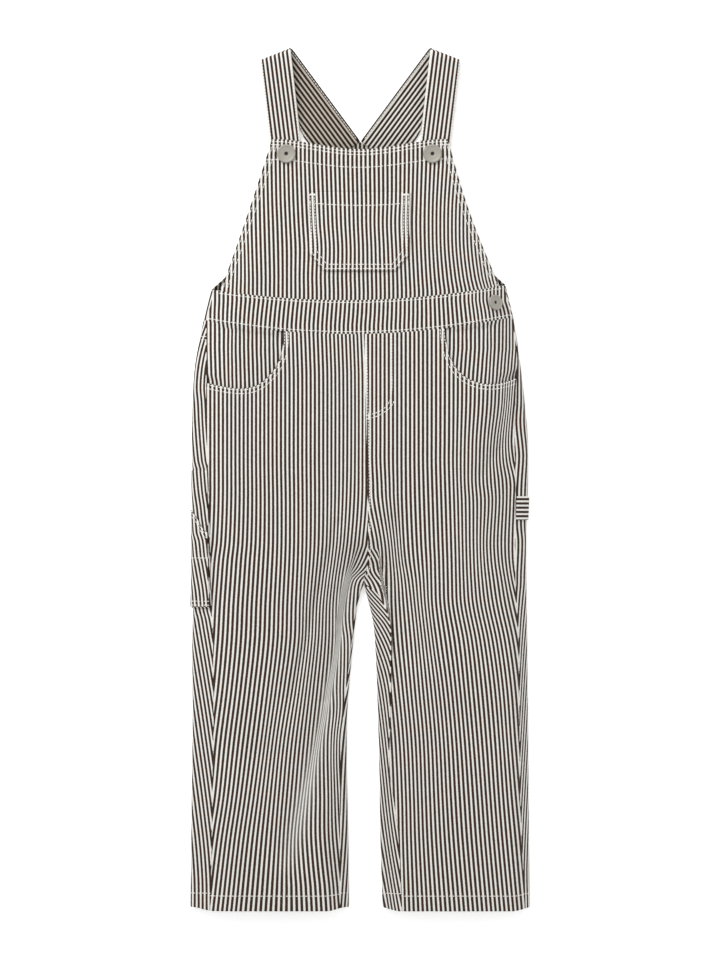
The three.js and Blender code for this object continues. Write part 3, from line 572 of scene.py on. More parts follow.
def beyondLine(line, x, y):
    # Signed distance from a line in plan: positive on its right-hand side as it runs.
    best = np.full(x.shape, 1e9)
    signed = np.zeros(x.shape)
    for a, b in zip(line[:-1], line[1:]):
        step = b - a
        t = np.clip(((x - a[0]) * step[0] + (y - a[1]) * step[1]) / (step @ step), 0, 1)
        dx, dy = x - a[0] - t * step[0], y - a[1] - t * step[1]
        away = np.hypot(dx, dy)
        cross = step[0] * (y - a[1]) - step[1] * (x - a[0])
        nearer = away < best
        best = np.where(nearer, away, best)
        signed = np.where(nearer, np.where(cross < 0, away, -away), signed)
    return signed


def hipDistance(half, x, y):
    line = smoothLine(hipOpening[half], 60)
    inward = halves[half]
    line = np.concatenate([[line[0] + (0, 60)], line, [line[-1] + (-60 * inward, 4)]])
    return -inward * beyondLine(line, x, y)


def frontLeg(half, rows=238, columns=130):
    inward = halves[half]
    base = np.linspace(waistBottom["mid"] - cloth["edge"], hem["y"] + cloth["edge"], rows)[:, None]
    yMid = levelY(base, inward * -sideX)
    seamX = side[half + "Fold"](yMid) + inward * (side[half + "Seam"](yMid) + seamInset)
    yInner = levelY(base, middle["seam"](yMid))
    upper = middle["seam"](yInner) - inward * seamInset
    lower = inside[half + "Fold"](yInner) - inward * (inside[half + "Seam"](yInner) + seamInset)
    innerX = np.where(yInner >= crotch["y"], upper, lower)
    x = mix(seamX, innerX, np.linspace(0, 1, columns)[None, :])
    y = levelY(base, x)
    fromCrease = x - tuck[half]["x"](y)
    across = fromCrease / tuck[half]["half"](y)
    deep = smooth(tuck[half]["step"](y) / 3)
    # along the left leg's tuck a painted highlight lightens the steep wall of the fold; beside the right leg's
    # tuck painted shade darkens the valley
    paintedHighlight = -0.5 * deep * np.exp(-across ** 2)
    paintedShade = 0.5 * deep * smooth(across) * smooth(2 - fromCrease / 8)
    marks = np.stack([legStripes(half, x, y), y, paintedHighlight if half == "left" else paintedShade], -1)
    points = np.stack([x, y, topHeight(half, x, y)], -1)
    inOpening = hipDistance(half, x, y) - cloth["edge"]
    return clothFromGrid("frontLeg." + half, points, marks, cloth["twill"], upwards, inOpening)


backing = {
    "left": {"beyond": 8, "below": 9, "stripeX": -119.2, "pitch": 3.45, "lean": 0.03,
             "narrowFrom": 200, "narrowPitch": 3.45},
    "right": {"beyond": 8, "below": 9, "stripeX": 70.1, "pitch": 3.45, "lean": -0.075,
              "narrowFrom": 115, "narrowPitch": 2.64},
}


def hipBacking(half):
    b = backing[half]
    inward = halves[half]
    innerX = hipOpening[half][0][0] + inward * b["beyond"]
    lowest = min(y for _, y in hipOpening[half]) - b["below"]
    across = np.linspace(0, 1, 42)[None, :]
    down = np.linspace(0, 1, 34)[:, None]
    y0 = mix(sagging(waistBottom, inward * -100.0), lowest, down)
    outerX = side[half + "Fold"](y0) + inward * (side[half + "Seam"](y0) + seamInset)
    x = mix(outerX, innerX, across)
    y = mix(sagging(waistBottom, x) - seamInset, lowest, down)
    besideSeam = smooth((20 - inward * (x - outerX)) / 16)
    underBand = smooth((5 - sagging(waistBottom, x) + y) / 4)
    flush = smooth((-hipDistance(half, x, y) - 1) / 7) * np.maximum(besideSeam, underBand)
    points = np.stack([x, y, topHeight(half, x, y)], -1)
    normals = gridNormals(points)
    normals *= np.sign(normals[..., 2:3])
    shifted = x - b["lean"] * np.clip(108 - y, 0, 40)
    stripe = (np.minimum(shifted, b["narrowFrom"]) - b["stripeX"]) / b["pitch"] + 0.5
    stripe = stripe + np.maximum(shifted - b["narrowFrom"], 0) / b["narrowPitch"]
    points -= normals * mix(gap["twillInCad"] + gap["pocket"], 0.3, flush)[..., None]
    return clothFromGrid("hipPocket." + half, points, np.stack([stripe, y], -1), cloth["light"], upwards)


underTurn = fold["under"] * math.pi / 2
# How far the stripes drift down the inner leg, and the whole stripes that keep the pitch even behind.
fewerStripes = {"left": 12, "right": 10}
innerDrift = {
    "left": ((-85, 0), (-130, 7), (-354, 30)),
    "right": ((-85, 0), (-150, 27), (-200, 36), (-354, 50)),
}
legCore = {"left": (-122, -20), "right": (24, 126)}   # well inside each leg's tube, from and to in x


def backLeg(half, rows=220):
    inward = halves[half]
    base = np.linspace(waistBottom["mid"] - cloth["edge"], hem["y"] + cloth["edge"], rows)[:, None]
    y = levelY(base, inward * -sideX, straightAcross)
    foldX = side[half + "Fold"](y)
    outer = (alongToSeam(half, y) - seamInset) * (1 - np.linspace(0, 1, 13)[None, :])
    under = -underTurn * np.linspace(0, 1, 9)[None, 1:] * np.ones_like(y)
    xOuter, zOuter = roundFold(half, foldX, inward, np.concatenate([outer, under], 1), y)
    yOuter = levelY(base, xOuter, straightAcross)

    yInner = levelY(base, crotch["x"] - inward * 10.0, straightAcross)
    below = smooth((crotch["y"] - yInner) / 12)
    innerFold = inside[half + "Fold"](yInner)
    innerUnder = underTurn * below
    inseam = np.maximum(0.4, alongToSeam(half, yInner, inside) - gap["seam"] / 2) - cloth["edge"]
    inseam = inseam * smooth((crotch["y"] - yInner) / 6)
    underIn = -innerUnder * (1 - np.linspace(0, 1, 9)[None, :])
    topIn = np.maximum(inseam, 0) * np.linspace(0, 1, 13)[None, 1:]
    alongIn = np.concatenate([underIn, topIn], 1)
    every = np.ones_like(alongIn)
    xIn, zIn = roundFold(half, innerFold * every, -inward, alongIn, yInner * every)
    centreX = middle["seam"](yInner) - inward * seamInset
    fromApex = np.hypot(centreX - crotch["x"], yInner - crotch["y"])
    centreZ = fold["height"] * (1 - riseAt(fromApex, fold["under"]))
    above = yInner >= crotch["y"]
    xIn = np.where(above, centreX, xIn)
    zIn = np.where(above, centreZ, zIn)
    yIn = levelY(base, xIn, straightAcross)

    share = np.linspace(0, 1, 44)[None, 1:-1]
    xFlat = mix(xOuter[:, -1:], xIn[:, :1], share)
    yFlat = levelY(base, xFlat, straightAcross)
    fromApex = np.hypot(xFlat - crotch["x"], yFlat - crotch["y"])
    fromFold = np.where(above, fromApex, inward * (innerFold - xFlat))
    zFlat = fold["height"] * (1 - riseAt(fromFold, fold["under"]))
    points = np.stack([np.concatenate([xOuter, xFlat, xIn], 1), np.concatenate([yOuter, yFlat, yIn], 1),
                       np.concatenate([zOuter, zFlat, zIn], 1)], -1)

    along = lengthAcross(points[..., [0, 2]])
    share = np.clip((along / along[:, -1:] - 0.1) / 0.8, 0, 1)
    atSide = (points[:, :1, 0] - wayOf(half, points[..., 1])) * inward
    atInside = curveOf(innerDrift[half])(points[..., 1]) - fewerStripes[half] * cloth["pitch"]
    stripe = inward * (mix(atSide, atInside, share) - along) / cloth["pitch"] + 0.5
    marks = np.stack([stripe, points[..., 1]], -1)
    return clothFromGrid("backLeg." + half, points, marks, cloth["twill"], outwardFrom(*legCore[half]))


def frontWaistband():
    down = np.linspace(0, 1, 18)[:, None]
    ends = []
    for half, inward in halves.items():
        y = mix(sagging(waistTop, inward * -118.0), sagging(waistBottom, inward * -sideX), down)
        ends.append(side[half + "Fold"](y) + inward * (side[half + "Seam"](y) + seamInset))
    x = mix(*ends, np.linspace(0, 1, 150)[None, :])
    y = mix(sagging(waistTop, x) - seamInset, sagging(waistBottom, x) + seamInset, down)
    marks = np.stack([stripesAt(bandCounts, bandPlaces, x, y), y], -1)
    return clothFromGrid("waistband.front", onCloth(x, y), marks, cloth["twill"], upwards)


def backWaistband():
    down = np.linspace(0, 1, 14)[:, None]

    def heightAt(x):
        return mix(straightAcross(waistTop, x) - seamInset, straightAcross(waistBottom, x) + seamInset, down)

    parts = {}
    for half, inward in halves.items():
        y = heightAt(inward * -sideX)
        along = np.concatenate([(alongToSeam(half, y) - seamInset) * (1 - np.linspace(0, 1, 8)[None, :]),
                                -underTurn * np.linspace(0, 1, 8)[None, 1:] * np.ones_like(y)], 1)
        every = np.ones_like(along)
        x, z = roundFold(half, side[half + "Fold"](y) * every, inward, along, y * every)
        parts[half] = np.stack([x, y * every, z], -1)
    x = mix(parts["left"][:, -1:, 0], parts["right"][:, -1:, 0], np.linspace(0, 1, 60)[None, 1:-1])
    flat = np.stack([x, heightAt(x), np.zeros_like(x)], -1)
    points = np.concatenate([parts["left"], flat, parts["right"][:, ::-1]], 1)
    marks = np.stack([lengthAcross(points) / cloth["pitch"], points[..., 1]], -1)
    return clothFromGrid("waistband.back", points, marks, cloth["twill"], outwardFrom(-112, 112))


bib = {
    "bottomHalf": 115.2, "topHalf": 72, "top": 279.6, "dip": 8.2, "topLevel": 9.4,
    "leftBow": -0.8, "sideBow": -3.2,
}
bibPocket = {
    "left": -42.6, "right": 41.2, "top": 235.6, "cornerY": 185.2, "bottom": 171.8, "cornerX": 30, "lean": 2.4,
}
yoke = {"tipY": 277.8, "shoulderX": 26.4, "shoulderY": 259.2, "armholeMid": 78}


def bibPoint(across, rise):
    across, rise = np.broadcast_arrays(np.asarray(across, float), np.asarray(rise, float))
    bow = np.where(across < 0, bib["leftBow"], bib["sideBow"])
    halfWidth = mix(bib["bottomHalf"], bib["topHalf"], rise) + bow * np.sin(math.pi * rise)
    bottomX = bib["bottomHalf"] * across
    bottomY = sagging(waistTop, bottomX) + gap["seam"] / 2
    topY = bib["top"] - bib["dip"] * np.cos(math.pi / 2 * across) ** 2
    x = halfWidth * across
    y = mix(bottomY, topY, rise)
    edges = np.clip(1 - across ** 2, 0, 1) * np.sin(math.pi * np.clip(rise, 0, 1))
    z = mix(topOf(bottomX, bottomY), bib["topLevel"], smooth(rise)) + edges * 0.5 * waves(x, y, 60, 21)
    return np.stack([x, y, z], -1)


def onBib(x, y):
    x, y = np.asarray(x, float), np.asarray(y, float)
    across, rise = x / 95, np.full(x.shape, 0.5)
    for _ in range(30):
        p = bibPoint(across, rise)
        rise = rise + (y - p[..., 1]) / 125
        across = across + (x - p[..., 0]) / 95
    return bibPoint(across, rise)


def bibPanel():
    sideInset = cloth["edge"] / 90
    across = np.linspace(-1 + sideInset, 1 - sideInset, 110)[None, :]
    rise = np.linspace(cloth["edge"] / 125, 1 - cloth["edge"] / 125, 78)[:, None]
    points = bibPoint(across, rise)
    x, y = points[..., 0], points[..., 1]
    marks = np.stack([stripesAt(bibCounts, bibPlaces, x, y), y], -1)
    return clothFromGrid("bib.panel", points, marks, cloth["twill"], upwards)


def pocketLift(across, y):  # snug at the pocket's sides and looser at its mouth
    share = smooth(across * 6) * smooth((1 - across) * 6) * smooth((bibPocket["top"] + 4 - y) / 20)
    return (gap["layer"] + gap["lightInCad"] + 0.5 * share)[..., None]


def bibPocketPatch():
    p = bibPocket
    upper = np.linspace(p["top"], p["cornerY"], 26)
    heights = np.concatenate([upper, np.linspace(p["cornerY"], p["bottom"], 9)[1:]])[:, None]
    below = np.clip((p["cornerY"] - heights) / (p["cornerY"] - p["bottom"]), 0, 1)
    lean = p["lean"] * (p["top"] - heights) / (p["top"] - p["bottom"])
    leftX = mix(p["left"] + lean, -p["cornerX"], below)
    rightX = mix(p["right"] - lean * 0.6, p["cornerX"] - 0.8, below)
    across = np.linspace(0, 1, 46)[None, :]
    x = mix(leftX, rightX, across)
    y = heights * np.ones_like(x)
    points = onBib(x, y)
    normals = gridNormals(points)
    normals *= np.sign(normals[..., 2:3])
    points = points + normals * pocketLift(across, heights)
    marks = np.stack([stripesAt(bibCounts, bibPlaces, x, y), y], -1)
    return clothFromGrid("bib.pocket", points, marks, cloth["light"], upwards)


def backYoke():
    across = np.linspace(-1, 1, 90)[None, :]
    across = np.sign(across) * np.abs(across) ** 0.85
    share = np.linspace(0, 1, 60)[:, None]
    bottomY = lambda x: straightAcross(waistTop, x)
    widest = np.where(across < 0, -side["leftFold"](bottomY(-120.0)), side["rightFold"](bottomY(120.0)))
    armhole = np.where(share < 0.5,
                       mix(widest, yoke["armholeMid"], 1 - np.clip(1 - share * 2, 0, 1) ** 1.4),
                       mix(yoke["armholeMid"], yoke["shoulderX"], np.clip(share * 2 - 1, 0, 1) ** 0.9))
    x = across * (armhole - cloth["edge"])
    topY = yoke["tipY"] - (yoke["tipY"] - yoke["shoulderY"]) * np.abs(across) - cloth["edge"]
    start = bottomY(x) + gap["seam"] / 2 + cloth["edge"] + 0.8 * across ** 6
    y = mix(start, topY, share)
    curl = (1 - smooth((y - bottomY(x)) / 26)) * (1 - riseAt(armhole - np.abs(x), fold["under"]))
    points = np.stack([x, y, fold["height"] * curl], -1)
    # the third mark is painted shade over the whole yoke
    marks = np.stack([x / cloth["pitch"] + 0.5, y, 0.8 * np.ones_like(x)], -1)
    return clothFromGrid("back.yoke", points, marks, cloth["twill"], lambda p: np.array([0, 0, -1.0]))


strap = {
    "foldX": -69.3, "foldY": 348.9, "foldLean": 21.7, "lean": 14.7, "frontWidth": 24.6, "foldWidth": 26.6,
    "foldFlare": -0.8, "frontFlare": 0.9, "backFlare": 9.3, "rightOut": 0.8, "frontLength": 99.0,
    "backLength": 100.4, "loopInner": 4.6, "loopOuter": 3.4, "frontLevel": 6.3,
}
# Where the stripes start across the straps, and how strong the painted shade is on the back part of each.
strapStripes = {"backX": 13.3, "backPitch": 3.35, "backStart": (0.97, 0.8), "frontX": 12.8, "frontStart": 1.2}
strapShade = (1, 0.35)


def strapSideways(length, across):  # place across the strap; it widens on its outer side
    s = strap
    width = mix(s["foldWidth"], s["frontWidth"], np.clip(length / s["frontLength"], 0, 1))
    flare = mix(s["foldFlare"], s["frontFlare"], np.clip(length / s["frontLength"], 0, 1))
    flare = mix(flare, s["backFlare"], np.clip(-length / (0.7 * s["backLength"]), 0, 1))
    return across * width / 2 - flare * np.clip(-across, 0, 1)


def strapPoint(mirror, length, across):
    s = strap
    lineAngle, lean = math.radians(s["foldLean"]), math.radians(s["lean"])
    alongLine = (math.cos(lineAngle), math.sin(lineAngle))
    square = (-math.sin(lineAngle), math.cos(lineAngle))
    sideways = strapSideways(length, across)
    towards = length * math.cos(lean) + sideways * math.sin(lean)
    downLine = -length * math.sin(lean) + sideways * math.cos(lean)
    radius = mix(s["loopOuter"], s["loopInner"], (across + 1) / 2)
    angle = np.clip(towards / radius, -math.pi / 2, math.pi / 2)
    straight = np.maximum(0, np.abs(towards) - radius * math.pi / 2)
    out = radius * np.cos(angle) - straight - radius
    top = 1.0 + radius * (1 + np.sin(angle))
    settle = np.where(towards > 0, smooth(straight / 62), 0)
    z = mix(top, s["frontLevel"], settle)
    x = s["foldX"] + alongLine[0] * downLine + square[0] * out
    y = s["foldY"] + alongLine[1] * downLine + square[1] * out
    return np.stack([mirror * x + (s["rightOut"] if mirror < 0 else 0), y, z], -1)


def slanted(lengths, across):  # places along a strap are square to it at its ends and slant near the fold
    skew = math.tan(math.radians(strap["lean"])) * (1 - smooth((np.abs(lengths) - 8) / 30))
    return lengths - across * strap["foldWidth"] / 2 * skew


def strapPiece(mirror):
    name, which = ("strap.left", 0) if mirror > 0 else ("strap.right", 1)
    lengths = np.concatenate([np.linspace(-strap["backLength"] + 0.4, -14, 46), np.linspace(-13, 13, 53),
                              np.linspace(14, strap["frontLength"] - 0.4, 46)])[:, None]
    across = np.linspace(-1, 1, 17)[None, :] * (1 - 0.9 / 13.3)
    length = slanted(lengths, across)
    points = strapPoint(mirror, length, across)
    normals = gridNormals(points)
    if np.sum(normals[-10:, :, 2]) < 0:
        normals = -normals
    front = smooth(length / 3 + 0.5)
    sideways = strapSideways(length, across)
    t = strapStripes
    behind = (sideways - t["backX"]) / t["backPitch"] + t["backStart"][which]
    stripe = mix(behind, (sideways - t["frontX"]) / cloth["pitch"] + t["frontStart"], front)
    # the third mark is painted shade on the part of the strap behind the fold
    marks = np.stack([stripe, length * np.ones_like(across), (1 - front) * strapShade[which]], -1)

    def outwardAt(p):
        facing = np.zeros_like(p)
        facing[-10:, :, 2] = 1.0
        return facing
    return clothFromGrid(name, points + normals * cloth["strap"] / 2, marks, cloth["strap"], outwardAt)


sidePatches = {
    "toolPocket": {"half": "left", "top": (8, 8), "bottom": -105, "stackedOn": 0.4, "thickness": 0.9},
    "rulerPocket": {"half": "left", "top": (-42.4, -24.4), "bottom": -104, "stackedOn": 1.8, "thickness": 0.9},
    "hammerLoop": {"half": "right", "top": (-13.4, -13.4), "bottom": -32.8, "stackedOn": 0.4, "thickness": 1.1},
}


def sidePatch(name):
    p = sidePatches[name]
    half = p["half"]
    inward = halves[half]
    turn = np.linspace(0, 1, 26)[None, :]
    top = mix(p["top"][0], p["top"][1], smooth(turn)) - cloth["edge"]
    rows = max(10, int((max(p["top"]) - p["bottom"]) / 2))
    down = np.linspace(0, 1, rows)[:, None]
    y = mix(top, p["bottom"] + cloth["edge"], down)
    along = mix(alongToSeam(half, y) - 0.3 - cloth["edge"], -fold["under"] * 0.35 + cloth["edge"], turn)
    x, z = roundFold(half, side[half + "Fold"](y), inward, along, y)
    points = np.stack([x, y, z], -1)
    outwardAt = outwardFrom(inward * -124, inward * -124)
    normals = gridNormals(points)
    if np.sum(normals * outwardAt(points)) < 0:
        normals = -normals
    points = points + normals * (p["stackedOn"] + p["thickness"])
    if name == "hammerLoop":
        marks = np.stack([y / cloth["pitch"], along], -1)
    else:
        flatX = points[:, :1, 0] - inward * lengthAcross(points[..., [0, 2]])
        marks = np.stack([(flatX - wayOf(name, y)) / cloth["pitch"] + 0.5, y * np.ones_like(along)], -1)
    return clothFromGrid(name, points, marks, p["thickness"], outwardAt)


button = {
    "bib": 15.4, "waist": 12.8, "height": 2.4, "pit": 1.3,
    "bibX": (-60.5, 59.5), "bibY": 267.6, "waistX": 110.2, "waistY": 145.2,
}


def buttonPiece(name, diameter, point, normal, clearance):
    radius = diameter / 2
    height = button["height"]
    outline = [(0, 0.5), (button["pit"] * 0.7, 0.55), (button["pit"], 0.9), (button["pit"] * 1.15, height - 0.75),
               (button["pit"] * 1.5, height - 0.62), (radius * 0.6, height - 0.5), (radius * 0.74, height - 0.42),
               (radius * 0.8, height - 0.12), (radius * 0.87, height), (radius * 0.94, height - 0.06),
               (radius * 0.99, height - 0.5), (radius, height * 0.5), (radius * 0.97, height * 0.22),
               (radius * 0.88, 0.0), (0, 0.0)]
    segments = 72
    angles = np.linspace(0, 2 * math.pi, segments, endpoint=False)
    points, marks, faces = [], [], []
    for r, z in outline:
        for k, angle in enumerate(angles):
            points.append((r * math.cos(angle), r * math.sin(angle), z))
            marks.append((r / radius, z))
    for i in range(len(outline) - 1):
        for k in range(segments):
            a, b = i * segments + k, i * segments + (k + 1) % segments
            faces.append((a, a + segments, b + segments, b))
    points = np.array(points)
    turn = Vector((0, 0, 1)).rotation_difference(Vector(normal)).to_matrix()
    points = points @ np.array(turn).T + np.array(point) + np.array(normal) * clearance
    kept = weld(points, np.ones_like(points), np.array(marks), faces)
    return makeMesh(name, kept[0], kept[3], kept[2])


def nodeTree(name):
    material = bpy.data.materials.new(name)
    material.use_nodes = True
    tree = material.node_tree
    tree.nodes.clear()
    out = tree.nodes.new("ShaderNodeOutputMaterial")
    shader = tree.nodes.new("ShaderNodeBsdfPrincipled")
    tree.links.new(shader.outputs["BSDF"], out.inputs["Surface"])
    return material, tree, shader


def fillInputs(tree, node, inputs):  # a socket is joined and anything else is set
    for name, value in inputs.items():
        if isinstance(value, bpy.types.NodeSocket):
            tree.links.new(value, node.inputs[name])
        else:
            node.inputs[name].default_value = value
    return node


def addNode(tree, kind, inputs, **settings):
    node = tree.nodes.new(kind)
    for key, value in settings.items():
        setattr(node, key, value)
    return fillInputs(tree, node, inputs)


def mathNode(tree, operation, *values, **settings):
    return addNode(tree, "ShaderNodeMath", dict(enumerate(values)), operation=operation, **settings).outputs[0]


def mixColours(tree, factor, first, second, blend="MIX"):
    inputs = {"Factor": factor, 6: first, 7: second}
    return addNode(tree, "ShaderNodeMix", inputs, data_type="RGBA", blend_type=blend).outputs[2]


def weavePlace(tree):
    uv = addNode(tree, "ShaderNodeUVMap", {}, uv_map="weave")
    return addNode(tree, "ShaderNodeSeparateXYZ", {0: uv.outputs["UV"]}).outputs


def noiseOf(tree, scale, detail):
    coords = addNode(tree, "ShaderNodeTexCoord", {})
    inputs = {"Vector": coords.outputs["Object"], "Scale": scale, "Detail": detail}
    return addNode(tree, "ShaderNodeTexNoise", inputs).outputs["Fac"]


def bumpFrom(tree, height, strength):
    inputs = {"Height": height, "Strength": strength, "Distance": 0.0001}
    return addNode(tree, "ShaderNodeBump", inputs).outputs["Normal"]


# dark and pale are the stripes' own colours; the third colour is painted shade for the back straps, the yoke and
# a valley on the right leg
twillColours = {
    "dark": (0.036, 0.0185, 0.0115, 1), "pale": (0.72, 0.71, 0.67, 1), "paintedShade": (0.6, 0.56, 0.51, 1),
}


def stripedTwill():
    material, tree, shader = nodeTree("stripedTwill")
    weave = weavePlace(tree)
    wobble = mathNode(tree, "MULTIPLY_ADD", noiseOf(tree, 900, 2), 0.12, -0.06)
    cycle = mathNode(tree, "FRACT", mathNode(tree, "ADD", weave["X"], wobble))
    # 0 in the middle of a dark stripe
    away = mathNode(tree, "ABSOLUTE", mathNode(tree, "SUBTRACT", cycle, 0.5))
    edges = {"Value": away, "From Min": 0.243, "From Max": 0.323}
    ramp = addNode(tree, "ShaderNodeMapRange", edges, interpolation_type="SMOOTHSTEP")
    colour = mixColours(tree, ramp.outputs["Result"], twillColours["dark"], twillColours["pale"])
    # above 0 painted shade darkens the cloth, and below 0 a painted highlight turns it pale along a crease
    shaded = addNode(tree, "ShaderNodeAttribute", {}, attribute_name="shaded").outputs["Fac"]
    highlightShare = mathNode(tree, "MULTIPLY", shaded, -1, use_clamp=True)
    paintedHighlight = mixColours(tree, highlightShare, colour, twillColours["pale"])
    # ribs of the twill, across the stripes
    rib = mathNode(tree, "SINE", mathNode(tree, "MULTIPLY", weave["Y"], 2 * math.pi / 0.9))
    fillInputs(tree, shader, {
        "Base Color": mixColours(tree, shaded, paintedHighlight, twillColours["paintedShade"], "MULTIPLY"), "Roughness": 0.88,
        "Specular IOR Level": 0.18, "Sheen Weight": 0.08, "Sheen Roughness": 0.5,
        "Normal": bumpFrom(tree, rib, 0.25),
    })
    return material


def threadFinish():
    material, tree, shader = nodeTree("thread")
    fillInputs(tree, shader, {"Base Color": (0.86, 0.84, 0.79, 1), "Roughness": 0.7, "Sheen Weight": 0.2})
    return material


def buttonMetal():
    material, tree, shader = nodeTree("buttonMetal")
    noise = noiseOf(tree, 1400, 3)
    colour = mixColours(tree, noise, (0.29, 0.275, 0.24, 1), (0.39, 0.37, 0.325, 1))
    edges = {"Value": weavePlace(tree)["X"], "From Min": 0.17, "From Max": 0.22}
    pit = addNode(tree, "ShaderNodeMapRange", edges).outputs["Result"]   # painted shade darkens the pit in the middle
    fillInputs(tree, shader, {
        "Base Color": mixColours(tree, pit, (0.04, 0.034, 0.028, 1), colour), "Metallic": 0.45,
        "Roughness": 0.6, "Normal": bumpFrom(tree, noise, 0.15),
    })
    return material


twillFinish = stripedTwill()
thread = threadFinish()
metal = buttonMetal()


print("cloth")


def keep(piece, *nodes, finish=twillFinish, slotName="striped_twill"):
    piece.data.materials.append(finish)
    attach(piece, "root")
    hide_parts(*nodes)


for half in halves:
    keep(frontLeg(half), "front_leg_" + half)
    keep(hipBacking(half), "hip_pocket_" + half)
    keep(backLeg(half), "back_leg_" + half, "outer_turn_" + half, "inner_turn_" + half)
    keep(strapPiece(halves[half]), "strap_" + half)
keep(frontWaistband(), "waistband_front")
keep(backWaistband(), "waistband_back")
keep(bibPanel(), "bib")
keep(bibPocketPatch(), "bib_pocket")
keep(backYoke(), "back_yoke")
keep(sidePatch("toolPocket"), "tool_pocket")
keep(sidePatch("rulerPocket"), "ruler_pocket")
keep(sidePatch("hammerLoop"), "hammer_loop")

print("buttons")


def addButton(name, node, diameter, pointAt, x, y, clearance):
    h = 0.2
    here = pointAt(np.array([x, x + h, x]), np.array([y, y, y + h]))
    normal = unit(np.cross(here[1] - here[0], here[2] - here[0]))
    keep(buttonPiece(name, diameter, here[0], normal, clearance), node, finish=metal, slotName="button_metal")


for x, name, node in zip(button["bibX"], ("button.bibLeft", "button.bibRight"),
                         ("button_bib_left", "button_bib_right")):
    addButton(name, node, button["bib"], onBib, x, button["bibY"], gap["layer"])
addButton("button.waist", "button_waist", button["waist"], onCloth, button["waistX"], button["waistY"], 0.6)

# Stitches are beads along rows, all sizes in millimetres.
stitch = {"length": 2.35, "pitch": 2.6, "width": 0.62, "height": 0.45, "lift": 0.1, "seed": 4}
tackStitch = {"length": 0.55, "pitch": 0.5, "width": 1.9, "height": 0.6}


def stitchTree():
    tree = bpy.data.node_groups.new("stitchRows", "GeometryNodeTree")
    tree.interface.new_socket("Rows", in_out="INPUT", socket_type="NodeSocketGeometry")
    for label in ("Pitch", "Length", "Width", "Height"):
        tree.interface.new_socket(label, in_out="INPUT", socket_type="NodeSocketFloat")
    tree.interface.new_socket("Thread", in_out="INPUT", socket_type="NodeSocketMaterial")
    tree.interface.new_socket("Stitches", in_out="OUTPUT", socket_type="NodeSocketGeometry")
    given = tree.nodes.new("NodeGroupInput").outputs
    step = {"Curve": given["Rows"], "Length": given["Pitch"]}
    along = addNode(tree, "GeometryNodeCurveToPoints", step, mode="LENGTH").outputs
    bead = addNode(tree, "GeometryNodeMeshUVSphere", {"Segments": 6, "Rings": 5, "Radius": 0.5}).outputs
    axes = {"X": given["Width"], "Y": given["Height"], "Z": given["Length"]}
    size = addNode(tree, "ShaderNodeCombineXYZ", axes).outputs
    ends = {"Min": (0.9, 0.85, 0.88), "Max": (1.1, 1.15, 1.06), "Seed": stitch["seed"]}
    chance = addNode(tree, "FunctionNodeRandomValue", ends, data_type="FLOAT_VECTOR").outputs
    both = {0: size["Vector"], 1: chance["Value"]}
    vary = addNode(tree, "ShaderNodeVectorMath", both, operation="MULTIPLY").outputs
    beads = addNode(tree, "GeometryNodeInstanceOnPoints", {
        "Points": along["Points"], "Instance": bead["Mesh"], "Rotation": along["Rotation"],
        "Scale": vary["Vector"],
    }).outputs
    real = addNode(tree, "GeometryNodeRealizeInstances", {"Geometry": beads["Instances"]}).outputs
    soft = addNode(tree, "GeometryNodeSetShadeSmooth", {"Geometry": real["Geometry"]}).outputs
    looks = {"Geometry": soft["Geometry"], "Material": given["Thread"]}
    finish = addNode(tree, "GeometryNodeSetMaterial", looks).outputs
    addNode(tree, "NodeGroupOutput", {"Stitches": finish["Geometry"]})
    return tree


stitchRows = stitchTree()


def sewRows(name, rows, sizes=stitch):
    curve = bpy.data.curves.new(name + ".rows", "CURVE")
    curve.dimensions = "3D"
    curve.twist_mode = "Z_UP"
    for row in rows:
        spline = curve.splines.new("POLY")
        spline.points.add(len(row) - 1)
        flat = np.concatenate([row * perMetre, np.ones((len(row), 1))], 1)
        spline.points.foreach_set("co", flat.astype(np.float32).ravel())
    holder = bpy.data.objects.new(name + ".rows", curve)
    bpy.context.scene.collection.objects.link(holder)
    modifier = holder.modifiers.new("stitches", "NODES")
    modifier.node_group = stitchRows
    values = {key.capitalize(): sizes[key] * perMetre for key in ("pitch", "length", "width", "height")}
    values["Thread"] = thread
    for item in stitchRows.interface.items_tree:
        if item.name in values:
            modifier[item.identifier] = values[item.name]
    graph = bpy.context.evaluated_depsgraph_get()
    mesh = bpy.data.meshes.new_from_object(holder.evaluated_get(graph))
    mesh.name = name
    holder.modifiers.remove(modifier)
    bpy.data.objects.remove(holder)
    bpy.data.curves.remove(curve)
    piece = bpy.data.objects.new(name, mesh)
    bpy.context.scene.collection.objects.link(piece)
    if not mesh.materials:
        mesh.materials.append(thread)
    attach(piece, "root")


def liftedRow(pointAt, x, y, step=0.3):
    here = pointAt(x, y)
    normal = unit(np.cross(pointAt(x + step, y) - here, pointAt(x, y + step) - here))
    return here + normal * stitch["lift"]


def besideLine(line, distance):  # positive is to the left of the line as it runs
    step = unit(np.gradient(line, axis=0))
    return line + np.stack([-step[:, 1], step[:, 0]], 1) * distance


def legRow(half, line):
    return liftedRow(lambda x, y: np.stack([x, y, topHeight(half, x, y)], -1), line[:, 0], line[:, 1])


frontStitches = {
    "openingRows": (1.1, 4.1), "centreBeside": 1.7, "hem": -341.0, "tack": ((7.6, 54.6), (7.6, 49.4)),
    "hemAt": {"left": (-137.0, -10.0), "right": (137.0, 18.0)},
    "mockFly": ((26.1, 119.0), (26.1, 96), (26.1, 74), (24.4, 64.8), (19.7, 58.6), (13.1, 54.9), (5.6, 52.9)),
    "mockFlyOuter": ((28.6, 66), (25.6, 60.4), (20.2, 55.7), (13.4, 52.0), (5.8, 50.0)),
}


